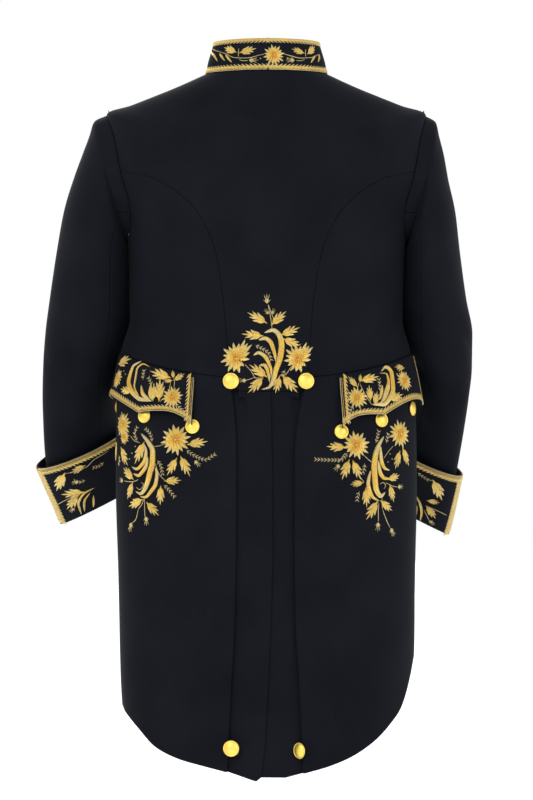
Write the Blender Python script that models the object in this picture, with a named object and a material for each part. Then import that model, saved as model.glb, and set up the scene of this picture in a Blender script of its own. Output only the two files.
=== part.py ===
# Ceremonial uniform coat with a stand collar, deep cuffs, pocket flaps and tails, worn form.
# Front faces -Y, back faces +Y, +Z up; the origin is the centre of the neck seam.
# Tables and lengths are in millimetres; make_object turns them into metres.

import bpy
import numpy as np

MM = 0.001
SEAM_GAP = 0.3        # clear space between two pieces at a seam
SLEEVE_GAP = 0.8      # the same at the arm seams, whose rims twist
CLOTH = 1.8           # wall of the body cloth
COLLAR_CLOTH = 2.6    # collar, cuffs and flaps are stiffened
FLAP_LIFT = 6.6       # how far a flap's points stand off the skirt, over the buttons
FLAP_CURVE = 1.2      # power of the lift from the waist seam to the points
FLAP_TOP = 1.5        # drop of a flap's upper edge below the waist seam
PLEAT_RADIUS = 1.7    # centre line of the rolled pleat edge
PLEAT_RETURN = 26.0   # cloth that turns back under the pleat edge
RETURN_RISE = 1.0     # how far that cloth ends above the hem
STRIP_TOP, STRIP_END = -416.8, -922.0
STRIP_CLEAR = 1.2     # between the cloth turned back in a pleat and the strip under it
STRIP_STEP = 15.0     # the strips start this much lower between the waist buttons
STRIP_RISE = (462.0, 36.0)   # depth at which a strip starts to come up to the surface, and over how much
STRIP_FLAT = (36.0, 10.0)    # half width of the part that comes up, and of its slope
VENT_STEP = 2.8       # the right strip and right front lie this far under the left ones
VENT_SLOPE = (30.0, 16.0)    # distance from the centre where the right strip goes under, and over how much
FRONT_LAP = 0.14      # angle by which a front runs past the centre front
FRONT_LAP_RAMP = 1.5  # levels over which that lap opens below the neck
LAP_TURN = (0.3, 0.12)       # angle before the centre where the right front goes under, and over how much
SIDE_TIP = 0.12       # share by which the side body's tip keeps clear of the armhole corner
WAIST_DIP = 0.12      # share of the back's width over which its lower edge dips
CUFF_GAP = 0.5        # half the gap of a cuff's open edge
CUFF_OPENING = 1      # ring point at which a cuff opens
SLEEVE_IN_CUFF = ((1, 5.0), (2, 2.5), (3, 0.2))   # cuff ring and the clearance of the sleeve inside it
SLEEVE_END = 0.06     # share by which a sleeve's end stays back from the cuff's lower edge
COLLAR_HEIGHT = 42.5
COLLAR_OPEN = 0.03    # half angle left open between the collar's ends
BUTTON_RADIUS = 10.6
SMALL_BUTTON_RADIUS = 9.4
BUTTON_HEIGHT = 5.0
BUTTON_SIDES = 10
BUTTON_PROFILE = ((0.72, 0.0), (1.0, 0.25), (1.0, 0.42), (0.62, 0.86))
WAIST_BUTTON = (49.0, -403.0)
TURNED_BUTTON = (0.87, 1.7, 5.5)    # turn of the right tail button's axis, its lift and its sideways shift
FRONT_BUTTON_LEVELS = (0.75, 7.7)
FRONT_BUTTONS = 9
ARM_POINTS = 24       # points round an armhole and a sleeve
BACK_JOIN = 5         # armhole point where the curved back seam starts
SIDE_JOIN = 12        # armhole point over the side seam
HIND_SEAM = 8         # sleeve points on the hind and front arm seams
FRONT_SEAM = 17


def table(columns, *rows):
    """Named columns from rows of numbers."""
    return dict(zip(columns.split(), np.array(rows, float).T))


# Level rings of the body, from the neck seam to the hem. Side, back and front are heights.
BODY = table(
    "side back front half back_y front_y power",
    (2, 4, -60, 80, 68, -64, 2.0),          # 0 neck
    (-15, -34, -86, 118, 82, -84, 2.0),     # 1 yoke
    (-38, -72, -114, 176, 94, -104, 2.1),   # 2 shoulder slope
    (-52, -97, -134, 211, 101, -118, 2.4),  # 3 shoulder point
    (-125, -131, -160, 205, 104, -130, 3.0),  # 4 shoulder blades
    (-212, -212, -212, 184, 101, -137, 2.8),  # 5 armpit
    (-262, -262, -262, 182, 93, -136, 2.5),  # 6 chest
    (-318, -318, -318, 181, 82, -131, 2.35),  # 7 small of the back
    (-366, -399, -392, 191.5, 84, -127, 2.3),  # 8 waist seam
    (-440, -460, -450, 198, 92, -124, 2.3),  # 9 hip
    (-540, -545, -540, 199, 102, -120, 2.35),  # 10 seat
    (-660, -660, -660, 196, 106, -115, 2.4),  # 11 thigh
    (-790, -790, -790, 194, 105, -112, 2.4),  # 12 knee
    (-935, -935, -935, 184, 101, -105, 2.4),  # 13 hem
)
SHOULDER, WAIST = 3, 8
WAIST_GAP = 0.009      # level between the waist seam and the skirts' upper edge
BACK_WAIST = 8.27     # the back runs a little lower than the waist seam between the waist buttons

# Side view of the armhole at even steps round it, from the shoulder point back and down.
ARMHOLE = table(
    "y z",
    (-8.5, -52), (16, -59), (36, -79), (47, -106), (52, -134), (52, -158), (46, -182),
    (32, -202), (8, -215), (-14, -219), (-38, -215), (-60, -203), (-73, -182),
    (-77, -156), (-74, -130), (-66, -102), (-53, -76), (-33, -58), (-8.5, -52),
)
# Curved back seam seen from behind, below the armhole.
BACK_SEAM = table(
    "x z",
    (180, -131), (157, -136), (135, -146), (114, -161), (97, -178), (84, -198),
    (73.5, -222), (66, -250), (61, -282), (57, -318), (54, -356), (52, -398),
)
# Front edge of the skirt, seen from the side.
SKIRT_FRONT = (
    (-62, -374), (-55, -420), (-46, -475), (-35, -540), (-20, -620), (-4, -700), (8, -765),
)
# The tails, of which each side hangs its own way: the skirt's front edge seen from the side, and, all seen
# from behind, its hem from the rounded front corner to the pleat, the pleat edge, the strip's outer edge,
# its lower edge and its edge at the vent, and the tail button.
TAILS = {
    1: {"front": table("y z", *SKIRT_FRONT[:-1], (0, -765), (6, -829)),
        "hem": table(
            "x z",
            (188.5, -836), (169.5, -857.5), (147, -881), (118, -895), (88, -903.8), (57.4, -912),
        ),
        "pleat": table(
            "x z",
            (55, -399), (49, -430), (45, -500), (45.7, -620), (48.2, -727), (52.8, -810), (57.4, -912),
        ),
        "reach": 74.0,
        "strip_hem": table("x z", (10.5, -920), (16.6, -924.8), (57.4, -911.5), (74, -906)),
        "vent": table(
            "x z",
            (-3, -417), (-4.5, -500), (-4.8, -636), (-1.9, -732), (0.9, -789), (3.8, -847), (5.8, -885),
            (10.5, -922),
        ),
        "button": (49.0, -881.0)},
    -1: {"front": table("y z", *SKIRT_FRONT),
         "hem": table(
             "x z",
             (190.5, -787), (185.5, -808), (176.5, -832), (160, -852.5), (138, -873.5),
             (108, -893), (78, -905), (47.5, -914),
         ),
         "pleat": table(
             "x z",
             (55, -399), (45.2, -430), (36.5, -500), (36, -620), (38, -727), (43, -810), (47.5, -914),
         ),
         "reach": 66.0,
         "strip_hem": table("x z", (-20, -919.6), (23.2, -920.1), (47.5, -913.5), (66, -907)),
         "vent": table("x z", (-14, -417), (-14, -700), (-20, -922)),
         "button": (46.0, -884.0)},
}

# Sleeve rings below the armhole. Each has an outer and an inner end, seen from behind, for the left and
# the right arm, then its middle and half depth front to back, the lean of its back edge and its skew.
SLEEVE = table(
    "l_out l_out_z l_in l_in_z r_out r_out_z r_in r_in_z l_mid r_mid deep lean skew",
    (227, -60, 187.5, -223, 224, -60, 187.5, -223, -12, -12, 63, 0, 0),
    (234, -80, 185.5, -228, 229, -80, 185.0, -228, -11, -11, 67, 0, 0),
    (243, -104, 184.0, -234, 235, -104, 183.5, -234, -11, -11, 69, 0, 0),
    (255, -137, 184.6, -243, 241, -137, 184.4, -243, -12, -12, 70, 0, 0),
    (267, -177, 184.4, -255, 250, -177, 184.2, -255, -13, -13, 69, 2, 0),
    (277, -232, 181.6, -275, 257, -232, 182.2, -277, -22, -22, 66, 4, 2),
    (286, -292, 179.6, -305, 266, -292, 180.7, -308, -34, -35, 61, 7, 4),
    (292, -338, 180.4, -335, 275, -340, 180.8, -338, -47, -48, 57, 12, 8),
    (295, -380, 189.4, -366, 275, -382, 190.0, -370, -58, -61, 53, 17, 12),
    (296, -422, 193.6, -398, 271, -424, 193.6, -402, -64, -70, 49, 20, 15),
    (295, -462, 194.0, -430, 266, -466, 188.0, -434, -76, -88, 46, 19, 16),
    (293, -500, 192.0, -462, 260, -510, 172.0, -470, -91, -110, 45, 16, 16),
)
# Cuff rings, from the turned-back upper edge to the hand.
CUFF = table(
    "l_out l_out_z l_in l_in_z r_out r_out_z r_in r_in_z l_mid r_mid deep lean skew",
    (305, -516, 182, -462, 266, -526, 157, -476, -96, -118, 56, 13, 16),
    (294, -542, 173, -486, 261.5, -554, 152, -501, -112, -135, 54, 11, 16),
    (283, -568, 164, -510, 256.5, -582, 147, -526, -128, -152, 52, 8, 16),
    (272.5, -594, 155, -534, 251, -609, 142, -551, -144, -169, 50, 5, 16),
)
# each flap's rear edge from the centre back, its front edge seen from the side, the power that moves the
# middle point back toward the rear one, the drops of its three points, the heights of its two scallops, and
# its buttons as a share along it, a drop and how far the back is let into the cloth
FLAP_SIDES = {
    1: {"reach": (96.0, -50.0), "crowd": 1.25, "drops": (68, 66.5, 61), "scallops": (10.5, 6.0),
        "buttons": {"rear": (0.005, 68.5, 0.0), "middle": (0.475, 68.5, 0.0), "fore": (0.97, 70.0, 0.85)}},
    -1: {"reach": (92.0, -20.0), "crowd": 1.3, "drops": (70.5, 65, 70), "scallops": (8.0, 10.0),
         "buttons": {"rear": (0.005, 73.5, 0.0), "middle": (0.49, 70.0, 0.0), "fore": (0.82, 70.0, 0.0)}},
}
SCALLOP_CURVE = 1.7
COLLAR = table(
    "rise half back_y front_y",
    (0, 80, 68, -64), (14, 77.5, 66, -62.5), (28, 73.5, 63, -60), (COLLAR_HEIGHT, 69, 60, -57),
)
CLOTH_COLOUR = (0.0105, 0.012, 0.019, 1)
GILT_COLOUR = (0.82, 0.56, 0.12, 1)


def smooth(values, at):
    """Monotone cubic through values that stand at 0, 1, 2 and so on."""
    step = np.diff(values)
    ahead, behind = step[1:], step[:-1]
    slope = np.zeros(len(values))
    same = ahead * behind > 0
    slope[1:-1][same] = 2 * ahead[same] * behind[same] / (ahead + behind)[same]
    slope[0], slope[-1] = step[0], step[-1]
    at = np.clip(np.asarray(at, float), 0, len(values) - 1)
    low = np.minimum(at.astype(int), len(values) - 2)
    t = at - low
    ease = t * t * (3 - 2 * t)
    return (
        values[low] * (1 - ease) + values[low + 1] * ease
        + slope[low] * t * (1 - t) ** 2 - slope[low + 1] * t * t * (1 - t)
    )


def spread(values, count):
    """The same curve read at an even number of places."""
    return smooth(np.asarray(values, float), np.linspace(0, len(values) - 1, count))


def body_point(turn, level):
    """A point of the body's outer surface. Turn is the angle from the left side round the back."""
    ring = {name: smooth(column, level) for name, column in BODY.items()}
    middle = (ring["back_y"] + ring["front_y"]) / 2
    deep = (ring["back_y"] - ring["front_y"]) / 2
    across, along = np.cos(turn), np.sin(turn)
    power = ring["power"]
    reach = (np.abs(across / ring["half"]) ** power + np.abs(along / deep) ** power) ** (-1 / power)
    end = np.where(along > 0, ring["back"], ring["front"])
    height = ring["side"] + (end - ring["side"]) * (reach * along / deep) ** 2
    return np.stack([reach * across, middle + reach * along, height], -1)


def unit(vectors):
    return vectors / np.linalg.norm(vectors, axis=-1, keepdims=True)


def body_normal(turn, level):
    """Outward direction of the body surface."""
    small = 1e-3
    level = np.clip(level, small, len(BODY["half"]) - 1 - small)
    round_it = body_point(turn + small, level) - body_point(turn - small, level)
    down = body_point(turn, level + small) - body_point(turn, level - small)
    return unit(np.cross(down, round_it))


def locate(first, height, axis, turn):
    """Turn and level of body points from two of their coordinates, by Newton's method from a guessed turn."""
    turn = np.full(len(height), float(turn))
    level = np.interp(-np.asarray(height), -BODY["side"], np.arange(len(BODY["side"])))
    target = np.stack([first, height], -1)
    small = 1e-4
    for _ in range(40):
        here = body_point(turn, level)[:, [axis, 2]]
        by_turn = (body_point(turn + small, level)[:, [axis, 2]] - here) / small
        by_level = (body_point(turn, level + small)[:, [axis, 2]] - here) / small
        miss = target - here
        scale = by_turn[:, 0] * by_level[:, 1] - by_turn[:, 1] * by_level[:, 0]
        turn = turn + np.clip((miss[:, 0] * by_level[:, 1] - miss[:, 1] * by_level[:, 0]) / scale, -0.1, 0.1)
        level = level + np.clip((by_turn[:, 0] * miss[:, 1] - by_turn[:, 1] * miss[:, 0]) / scale, -0.3, 0.3)
        level = np.clip(level, 0, len(BODY["side"]) - 1.001)
    return np.stack([turn, level], -1)


def from_behind(curve, count=None):
    x, z = (curve[name] if count is None else spread(curve[name], count) for name in ("x", "z"))
    return locate(x, z, 0, 1.1)


def from_side(curve, count=None):
    y, z = (curve[name] if count is None else spread(curve[name], count) for name in ("y", "z"))
    return locate(y, z, 1, 0.1)


def mirrored(curve):
    """The same seam on the right side."""
    return np.stack([np.pi - curve[..., 0], curve[..., 1]], -1)


def line(start, end, count):
    return np.linspace(start, end, count)


def coons(left, right, top, bottom):
    """A grid of seam coordinates between four edges that meet at the corners."""
    down = np.linspace(0, 1, len(left))[:, None, None]
    over = np.linspace(0, 1, len(top))[None, :, None]
    sides = left[:, None] * (1 - over) + right[:, None] * over
    ends = top[None] * (1 - down) + bottom[None] * down
    corners = (
        (left[0] * (1 - over) + right[0] * over) * (1 - down)
        + (left[-1] * (1 - over) + right[-1] * over) * down
    )
    return sides + ends - corners


def edge_inward(points, normals, gap):
    """Moves the four edges of a grid into it, square to each edge, by half a seam gap."""
    moved = points.copy()
    every = slice(None)
    for edge, inner in (((0, every), (1, every)), ((-1, every), (-2, every)),
                        ((every, 0), (every, 1)), ((every, -1), (every, -2))):
        aside = unit(np.cross(normals[edge], np.gradient(points[edge], axis=0)))
        facing = np.sign((aside * (points[inner] - points[edge])).sum(-1, keepdims=True))
        moved[edge] = moved[edge] + aside * facing * gap / 2
    return moved


def grid_faces(rows, columns, start, flip):
    index = start + np.arange(rows * columns).reshape(rows, columns)
    a, b, c, d = index[:-1, :-1], index[1:, :-1], index[1:, 1:], index[:-1, 1:]
    quads = np.stack([a, b, c, d], -1).reshape(-1, 4)
    return quads[:, ::-1] if flip else quads


def wall_mesh(outer, inner, ring=False):
    """Points and quads of a closed wall between an outer and an inner grid of the same size."""
    if ring:
        outer, inner = (np.concatenate([g, g[:, :1]], 1) for g in (outer, inner))
    rows, columns = outer.shape[:2]
    count = rows * columns
    faces = [grid_faces(rows, columns, 0, False), grid_faces(rows, columns, count, True)]
    index = np.arange(count).reshape(rows, columns)
    rims = [(index[0], 1), (index[-1], -1)] + ([] if ring else [(index[:, 0], -1), (index[:, -1], 1)])
    for rim, way in rims:
        rim = rim[::way]
        faces.append(np.stack([rim[:-1], rim[1:], rim[1:] + count, rim[:-1] + count], -1))
    points = np.concatenate([outer.reshape(-1, 3), inner.reshape(-1, 3)])
    faces = np.concatenate(faces)
    if ring:
        kept = np.arange(len(points)).reshape(2, rows, columns)
        kept[:, :, -1] = kept[:, :, 0]
        names, faces = np.unique(kept.reshape(-1)[faces], return_inverse=True)
        points, faces = points[names], faces.reshape(-1, 4)
    return points, faces


def volume(points, faces):
    a, b, c, d = (points[faces[:, k]] for k in range(4))
    return float((a * np.cross(b, c)).sum() + (a * np.cross(c, d)).sum())


def make_material(name, colour, roughness, metallic):
    material = bpy.data.materials.new(name)
    material.use_nodes = True
    shader = material.node_tree.nodes["Principled BSDF"]
    shader.inputs["Base Color"].default_value = colour
    shader.inputs["Roughness"].default_value = roughness
    shader.inputs["Metallic"].default_value = metallic
    material.diffuse_color = colour
    return material


def make_object(name, points, faces, gilt=False):
    """A closed mesh object in metres, turned so that its faces point out."""
    if volume(points, faces) < 0:
        faces = faces[:, ::-1]
    mesh = bpy.data.meshes.new(name)
    corners = [face[: 3 + (face[2] != face[3])] for face in faces.tolist()]
    mesh.from_pydata((points * MM).tolist(), [], corners)
    mesh.validate()
    obj = bpy.data.objects.new(name, mesh)
    bpy.context.scene.collection.objects.link(obj)
    mesh.shade_smooth()
    mesh.set_sharp_from_angle(angle=0.7)
    finish = (GILT_COLOUR, 0.3, 1.0) if gilt else (CLOTH_COLOUR, 0.85, 0.0)
    mesh.materials.append(make_material(f"{name}_finish", *finish))
    return obj


def panel(name, seams, depth=0.0):
    """A body panel: a wall on the body surface, inside its four seams."""
    turn, level = seams[..., 0], seams[..., 1]
    normals = body_normal(turn, level)
    points = edge_inward(body_point(turn, level), normals, SEAM_GAP) - normals * np.asarray(depth)[..., None]
    make_object(name, *wall_mesh(points, points - normals * CLOTH))


def armhole(side):
    """Seam coordinates round the armhole, from the shoulder point over the back."""
    at = np.linspace(0, len(ARMHOLE["y"]) - 1, ARM_POINTS + 1)
    loop = locate(smooth(ARMHOLE["y"], at), smooth(ARMHOLE["z"], at), 1, 0.0)
    loop[0] = loop[-1] = (0, SHOULDER)
    return loop if side > 0 else mirrored(loop)


def upper_body():
    """Back, side bodies and fronts, which share their seam points."""
    shoulder = np.stack([np.zeros(7), line(0, SHOULDER, 7)], -1)
    holes = {side: armhole(side) for side in (1, -1)}
    seam = from_behind(BACK_SEAM, 15)
    seam[-1, 1] = WAIST
    columns = 17
    hole = holes[1]
    edge = np.concatenate([shoulder, hole[1 : BACK_JOIN + 1], seam])
    over = line(0, 1, columns)
    top = np.stack([line(0, np.pi, columns), np.zeros(columns)], -1)
    dip = np.clip(np.minimum(over, 1 - over) / WAIST_DIP, 0, 1)
    low = line(seam[-1, 0], np.pi - seam[-1, 0], columns)
    bottom = np.stack([low, WAIST + (BACK_WAIST - WAIST) * dip], -1)
    panel("back", coons(edge, mirrored(edge), top, bottom))

    side_seam = np.linspace(hole[SIDE_JOIN], (-0.01, WAIST), 9)
    corner = hole[BACK_JOIN]
    tips = [corner + (beside - corner) * SIDE_TIP for beside in (hole[BACK_JOIN + 1], seam[0])]
    outer = np.concatenate([tips[:1], hole[BACK_JOIN + 1 : SIDE_JOIN], side_seam])
    inner = np.concatenate([tips[1:], seam])
    side_body = coons(outer, inner, line(outer[0], inner[0], 7), line(outer[-1], inner[-1], 7))
    front_edge = np.concatenate([shoulder, hole[:SIDE_JOIN:-1][1:], side_seam])
    level = front_edge[:, 1]
    lap = FRONT_LAP * np.clip(level / FRONT_LAP_RAMP, 0, 1)
    centre = np.stack([-np.pi / 2 + 0.004 - lap, level], -1)
    ends = [np.linspace(front_edge[row], centre[row], 10) for row in (0, -1)]
    front = coons(front_edge, centre, *ends)
    before, ramp = LAP_TURN
    under = np.clip((-front[..., 0] - np.pi / 2 + before) / ramp, 0, 1) * VENT_STEP
    panel("side_body_left", side_body)
    panel("side_body_right", mirrored(side_body))
    panel("front_left", front)
    panel("front_right", mirrored(front), depth=under)
    return holes


def tube_ring(ring, side):
    """Points round a sleeve or cuff ring, from its outer end over the back."""
    letter, sign = ("l", 1) if side > 0 else ("r", -1)
    outer = np.array([sign * ring[f"{letter}_out"], 0, ring[f"{letter}_out_z"]])
    inner = np.array([sign * ring[f"{letter}_in"], 0, ring[f"{letter}_in_z"]])
    turn = np.linspace(0, 2 * np.pi, ARM_POINTS, endpoint=False)[:, None]
    half = (outer - inner) / 2
    lean = np.radians(ring["lean"])
    back = ring["deep"] * np.array([0, np.cos(lean), -np.sin(lean)])
    skew = np.array([0, ring["skew"], 0])
    middle = (outer + inner) / 2 + [0, ring[f"{letter}_mid"], 0]
    return middle + (half + skew) * np.cos(turn) + back * np.sin(turn)


def row_of(rows, index):
    return {name: column[index] for name, column in rows.items()}


def tube_normals(grid):
    """Outward directions of a tube given as rings of points."""
    round_it = np.roll(grid, -1, 1) - np.roll(grid, 1, 1)
    normals = unit(np.cross(round_it, np.gradient(grid, axis=0)))
    spoke = grid - grid.mean(1, keepdims=True)
    return normals * np.sign((normals * spoke).sum())


def sleeve(side, name, hole):
    """Top sleeve and under sleeve, from the armhole to inside the cuff."""
    place = body_point(hole[:-1, 0], hole[:-1, 1])
    normal = body_normal(hole[:-1, 0], hole[:-1, 1])
    away = unit(np.cross(normal, np.roll(place, -1, 0) - np.roll(place, 1, 0)))
    away *= np.sign((away * (place.mean(0) - place)).sum())
    rings = [place + away * SEAM_GAP / 2]
    rings += [tube_ring(row_of(SLEEVE, k), side) for k in range(len(SLEEVE["deep"]))]
    outside = np.stack([tube_ring(row_of(CUFF, k), side) for k in range(len(CUFF["deep"]))])
    inward = -tube_normals(outside)
    for row, loose in SLEEVE_IN_CUFF:
        rings.append(outside[row] + inward[row] * (COLLAR_CLOTH + SEAM_GAP + loose))
    rings[-1] = rings[-1] + (rings[-2] - rings[-1]) * SLEEVE_END
    grid = np.stack(rings)
    normals = tube_normals(grid)
    for part, first, last in (("top", FRONT_SEAM, ARM_POINTS + HIND_SEAM), ("under", HIND_SEAM, FRONT_SEAM)):
        pick = np.arange(first, last + 1) % ARM_POINTS
        points, across = grid[:, pick], normals[:, pick]
        shift = np.zeros_like(points)
        shift[:, 0] = unit(points[:, 1] - points[:, 0]) * SLEEVE_GAP / 2
        shift[:, -1] = unit(points[:, -2] - points[:, -1]) * SLEEVE_GAP / 2
        points = points + shift
        make_object(f"sleeve_{part}_{name}", *wall_mesh(points, points - across * CLOTH))


def cuff(side, name):
    """A deep turned-back cuff, open along the outer arm."""
    rings = np.stack([tube_ring(row_of(CUFF, k), side) for k in range(len(CUFF["deep"]))])
    normals = tube_normals(rings)
    pick = np.arange(CUFF_OPENING, CUFF_OPENING + ARM_POINTS + 1) % ARM_POINTS
    points, across = rings[:, pick], normals[:, pick]
    points[:, 0] += unit(points[:, 1] - points[:, 0]) * CUFF_GAP
    points[:, -1] += unit(points[:, -2] - points[:, -1]) * CUFF_GAP
    make_object(f"cuff_{name}", *wall_mesh(points, points - across * COLLAR_CLOTH))


def collar():
    """A stand collar on the neck seam, with its ends meeting at the centre front."""
    turn = line(-np.pi / 2 + COLLAR_OPEN, 1.5 * np.pi - COLLAR_OPEN, 37)
    neck = body_point(turn, 0.0)[:, 2]
    rings = []
    for rise, half, back_y, front_y in zip(*COLLAR.values()):
        middle, deep = (back_y + front_y) / 2, (back_y - front_y) / 2
        reach = 1 / np.hypot(np.cos(turn) / half, np.sin(turn) / deep)
        rings.append(np.stack(
            [reach * np.cos(turn), middle + reach * np.sin(turn), neck + rise + SEAM_GAP / 2], -1
        ))
    grid = np.stack(rings)
    normals = unit(np.cross(np.gradient(grid, axis=1), np.gradient(grid, axis=0)))
    normals *= np.sign((normals[:, 0] * [0, -1, 0]).sum())
    make_object("collar", *wall_mesh(grid, grid - normals * COLLAR_CLOTH))


def seam_point(pairs):
    return body_point(pairs[..., 0], pairs[..., 1]), body_normal(pairs[..., 0], pairs[..., 1])


def skirt(side, name):
    """A tail skirt from its front edge to the rolled pleat edge, and the cloth turned back under it."""
    rows = 16
    tail = TAILS[side]
    front_edge = from_side(tail["front"], rows)
    front_edge[0, 1] = WAIST
    pleat = from_behind(tail["pleat"], rows)
    pleat[0, 1] = WAIST
    hem = from_behind(tail["hem"], 11)
    hem = np.concatenate([front_edge[-1:], hem[:-1], pleat[-1:]])
    waist = np.linspace(front_edge[0], pleat[0], len(hem))
    main = coons(front_edge, pleat, waist, hem)
    main[0, :, 1] += WAIST_GAP
    points, normals = seam_point(main)
    middle = points - normals * CLOTH / 2
    edge, up = middle[:, -1], normals[:, -1]
    toward = unit(np.cross(up, np.gradient(edge, axis=0)))
    toward *= -np.sign(toward[:, :1])
    columns, facing = [middle], [normals]
    for bend in np.radians((45, 90, 135, 180)):
        roll = edge + toward * PLEAT_RADIUS * np.sin(bend) - up * PLEAT_RADIUS * (1 - np.cos(bend))
        columns.append(roll[:, None])
        facing.append((up * np.cos(bend) + toward * np.sin(bend))[:, None])
    for share in (0.5, 1.0):
        shifted = {"x": tail["pleat"]["x"] + PLEAT_RETURN * share, "z": tail["pleat"]["z"]}
        inner = from_behind(shifted, rows)
        x = shifted["x"][-1:]
        z = np.interp(x, tail["hem"]["x"][::-1], tail["hem"]["z"][::-1]) + RETURN_RISE
        low = from_behind({"x": x, "z": z})[0, 1]
        inner[:, 1] = WAIST + (main[:, -1, 1] - WAIST) * (low - WAIST) / (main[-1, -1, 1] - WAIST)
        inner_points, inner_normals = seam_point(inner)
        columns.append((inner_points - inner_normals * (CLOTH / 2 + 2 * PLEAT_RADIUS))[:, None])
        facing.append(-inner_normals[:, None])
    middle, facing = np.concatenate(columns, 1), np.concatenate(facing, 1)
    flip = np.array([side, 1, 1])
    outer, inner = middle + facing * CLOTH / 2, middle - facing * CLOTH / 2
    make_object(f"skirt_{name}", *wall_mesh(outer * flip, inner * flip))


def tail_strip(side, name):
    """A centre strip of the tails, under the skirt's pleat and up to the vent."""
    rows, columns = 13, 7
    down = line(0, 1, rows)[:, None]
    tail = TAILS[side]
    edge = np.interp(-STRIP_TOP + (STRIP_TOP - STRIP_END) * down, -tail["vent"]["z"], tail["vent"]["x"])
    x = tail["reach"] + (edge - tail["reach"]) * line(0, 1, columns)[None, :]
    top = STRIP_TOP + STRIP_STEP * np.clip((np.abs(x) - 38) / 6, 0, 1)
    height = top + (np.interp(x, *tail["strip_hem"].values()) - top) * down
    seams = locate(x.ravel(), height.ravel(), 0, 1.3).reshape(rows, columns, 2)
    points, normals = seam_point(seams)
    flat, slope = STRIP_FLAT
    below, ramp = STRIP_RISE
    rise = np.clip((flat - np.abs(x)) / slope, 0, 1) * np.clip((height + below) / ramp, 0, 1)
    rise = rise * rise * (3 - 2 * rise)
    depth = (CLOTH + 2 * PLEAT_RADIUS + STRIP_CLEAR) * (1 - rise)
    if side < 0:
        edge, slope = VENT_SLOPE
        depth = depth + VENT_STEP * np.clip((edge - x) / slope, 0, 1)
    points = (points - normals * depth[..., None]) * [side, 1, 1]
    normals = normals * [side, 1, 1]
    make_object(f"tail_strip_{name}", *wall_mesh(points, points - normals * CLOTH))


def flap_seams(side, along, drop):
    """Seam coordinates on the skirt, from shares along the flap and millimetres below the waist seam."""
    x, y = FLAP_SIDES[side]["reach"]
    rear = from_behind({"x": np.array([x]), "z": np.array([-391.0])})[0, 0]
    front = from_side({"y": np.array([y]), "z": np.array([-372.0])})[0, 0]
    turn = rear + (front - rear) * np.asarray(along) ** FLAP_SIDES[side]["crowd"]
    spacing = body_point(turn, float(WAIST))[..., 2] - body_point(turn, WAIST + 1.0)[..., 2]
    return np.stack([turn, WAIST + np.asarray(drop) / spacing], -1)


def flap(side, name):
    """A three-pointed pocket flap that hangs from the waist seam and stands off over its buttons."""
    columns, rows = 17, 5
    along = line(0, 1, columns)
    point = np.interp(along, (0, 0.5, 1), FLAP_SIDES[side]["drops"])
    height = np.where(along < 0.5, *FLAP_SIDES[side]["scallops"])
    scallop = height * (1 - np.abs(2 * ((2 * along) % 1.0) - 1) ** SCALLOP_CURVE)
    scallop[-1] = 0
    lower = point - scallop
    share = line(0, 1, rows)[:, None]
    drop = FLAP_TOP + (lower[None, :] - FLAP_TOP) * share
    points, normals = seam_point(flap_seams(side, along[None, :] * np.ones((rows, 1)), drop))
    inner = points + normals * (SEAM_GAP + FLAP_LIFT * share ** FLAP_CURVE)[..., None]
    flip = np.array([side, 1, 1])
    make_object(f"flap_{name}", *wall_mesh((inner + normals * COLLAR_CLOTH) * flip, inner * flip))


def button(name, seat, axis, radius):
    """A domed gilt button with its back at the seat."""
    axis = unit(np.asarray(axis, float))
    aside = unit(np.cross(axis, [0.0, 0.0, 1.0]))
    other = np.cross(axis, aside)
    sides = BUTTON_SIDES
    turn = np.linspace(0, 2 * np.pi, sides, endpoint=False)[:, None]
    rings = [
        seat + (aside * np.cos(turn) + other * np.sin(turn)) * radius * wide + axis * BUTTON_HEIGHT * high
        for wide, high in BUTTON_PROFILE
    ]
    points = np.concatenate(rings + [[seat + axis * BUTTON_HEIGHT], [np.asarray(seat, float)]])
    crown, bottom = len(points) - 2, len(points) - 1
    here = np.arange(sides)
    after = (here + 1) % sides
    faces = [
        np.stack([here + k * sides, after + k * sides, after + (k + 1) * sides, here + (k + 1) * sides], -1)
        for k in range(len(BUTTON_PROFILE) - 1)
    ]
    last = (len(BUTTON_PROFILE) - 1) * sides
    faces.append(np.stack([here + last, after + last, np.full(sides, crown), np.full(sides, crown)], -1))
    faces.append(np.stack([after, here, np.full(sides, bottom), np.full(sides, bottom)], -1))
    make_object(name, points, np.concatenate(faces), gilt=True)


def buttons():
    """Waist, tail, flap and front buttons, each seated on the cloth under it."""
    for side, name in ((1, "left"), (-1, "right")):
        flip = np.array([side, 1, 1])
        x, z = WAIST_BUTTON
        point, normal = seam_point(from_behind({"x": np.array([x]), "z": np.array([z])})[0])
        button(f"waist_button_{name}", (point + normal * SEAM_GAP) * flip, normal * flip, BUTTON_RADIUS)
        x, z = TAILS[side]["button"]
        point, normal = seam_point(from_behind({"x": np.array([x]), "z": np.array([z])})[0])
        seat, axis = point + normal * SEAM_GAP, normal
        if side < 0:
            toward = np.array([-1.0, 0.0, 0.0])
            turn, lift, shift = TURNED_BUTTON
            seat = point + normal * lift + toward * shift
            axis = normal * np.cos(turn) + toward * np.sin(turn)
        button(f"tail_button_{name}", seat * flip, axis * flip, BUTTON_RADIUS)
        for place, (along, drop, sink) in FLAP_SIDES[side]["buttons"].items():
            point, normal = seam_point(flap_seams(side, along, drop))
            seat = (point + normal * (SEAM_GAP - sink)) * flip
            button(f"flap_button_{place}_{name}", seat, normal * flip, SMALL_BUTTON_RADIUS)
    for index, level in enumerate(np.linspace(*FRONT_BUTTON_LEVELS, FRONT_BUTTONS)):
        point, normal = seam_point(np.array([-np.pi / 2 - 0.02, level]))
        button(f"front_button_{index + 1}", point + normal * SEAM_GAP, normal, SMALL_BUTTON_RADIUS)


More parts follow.
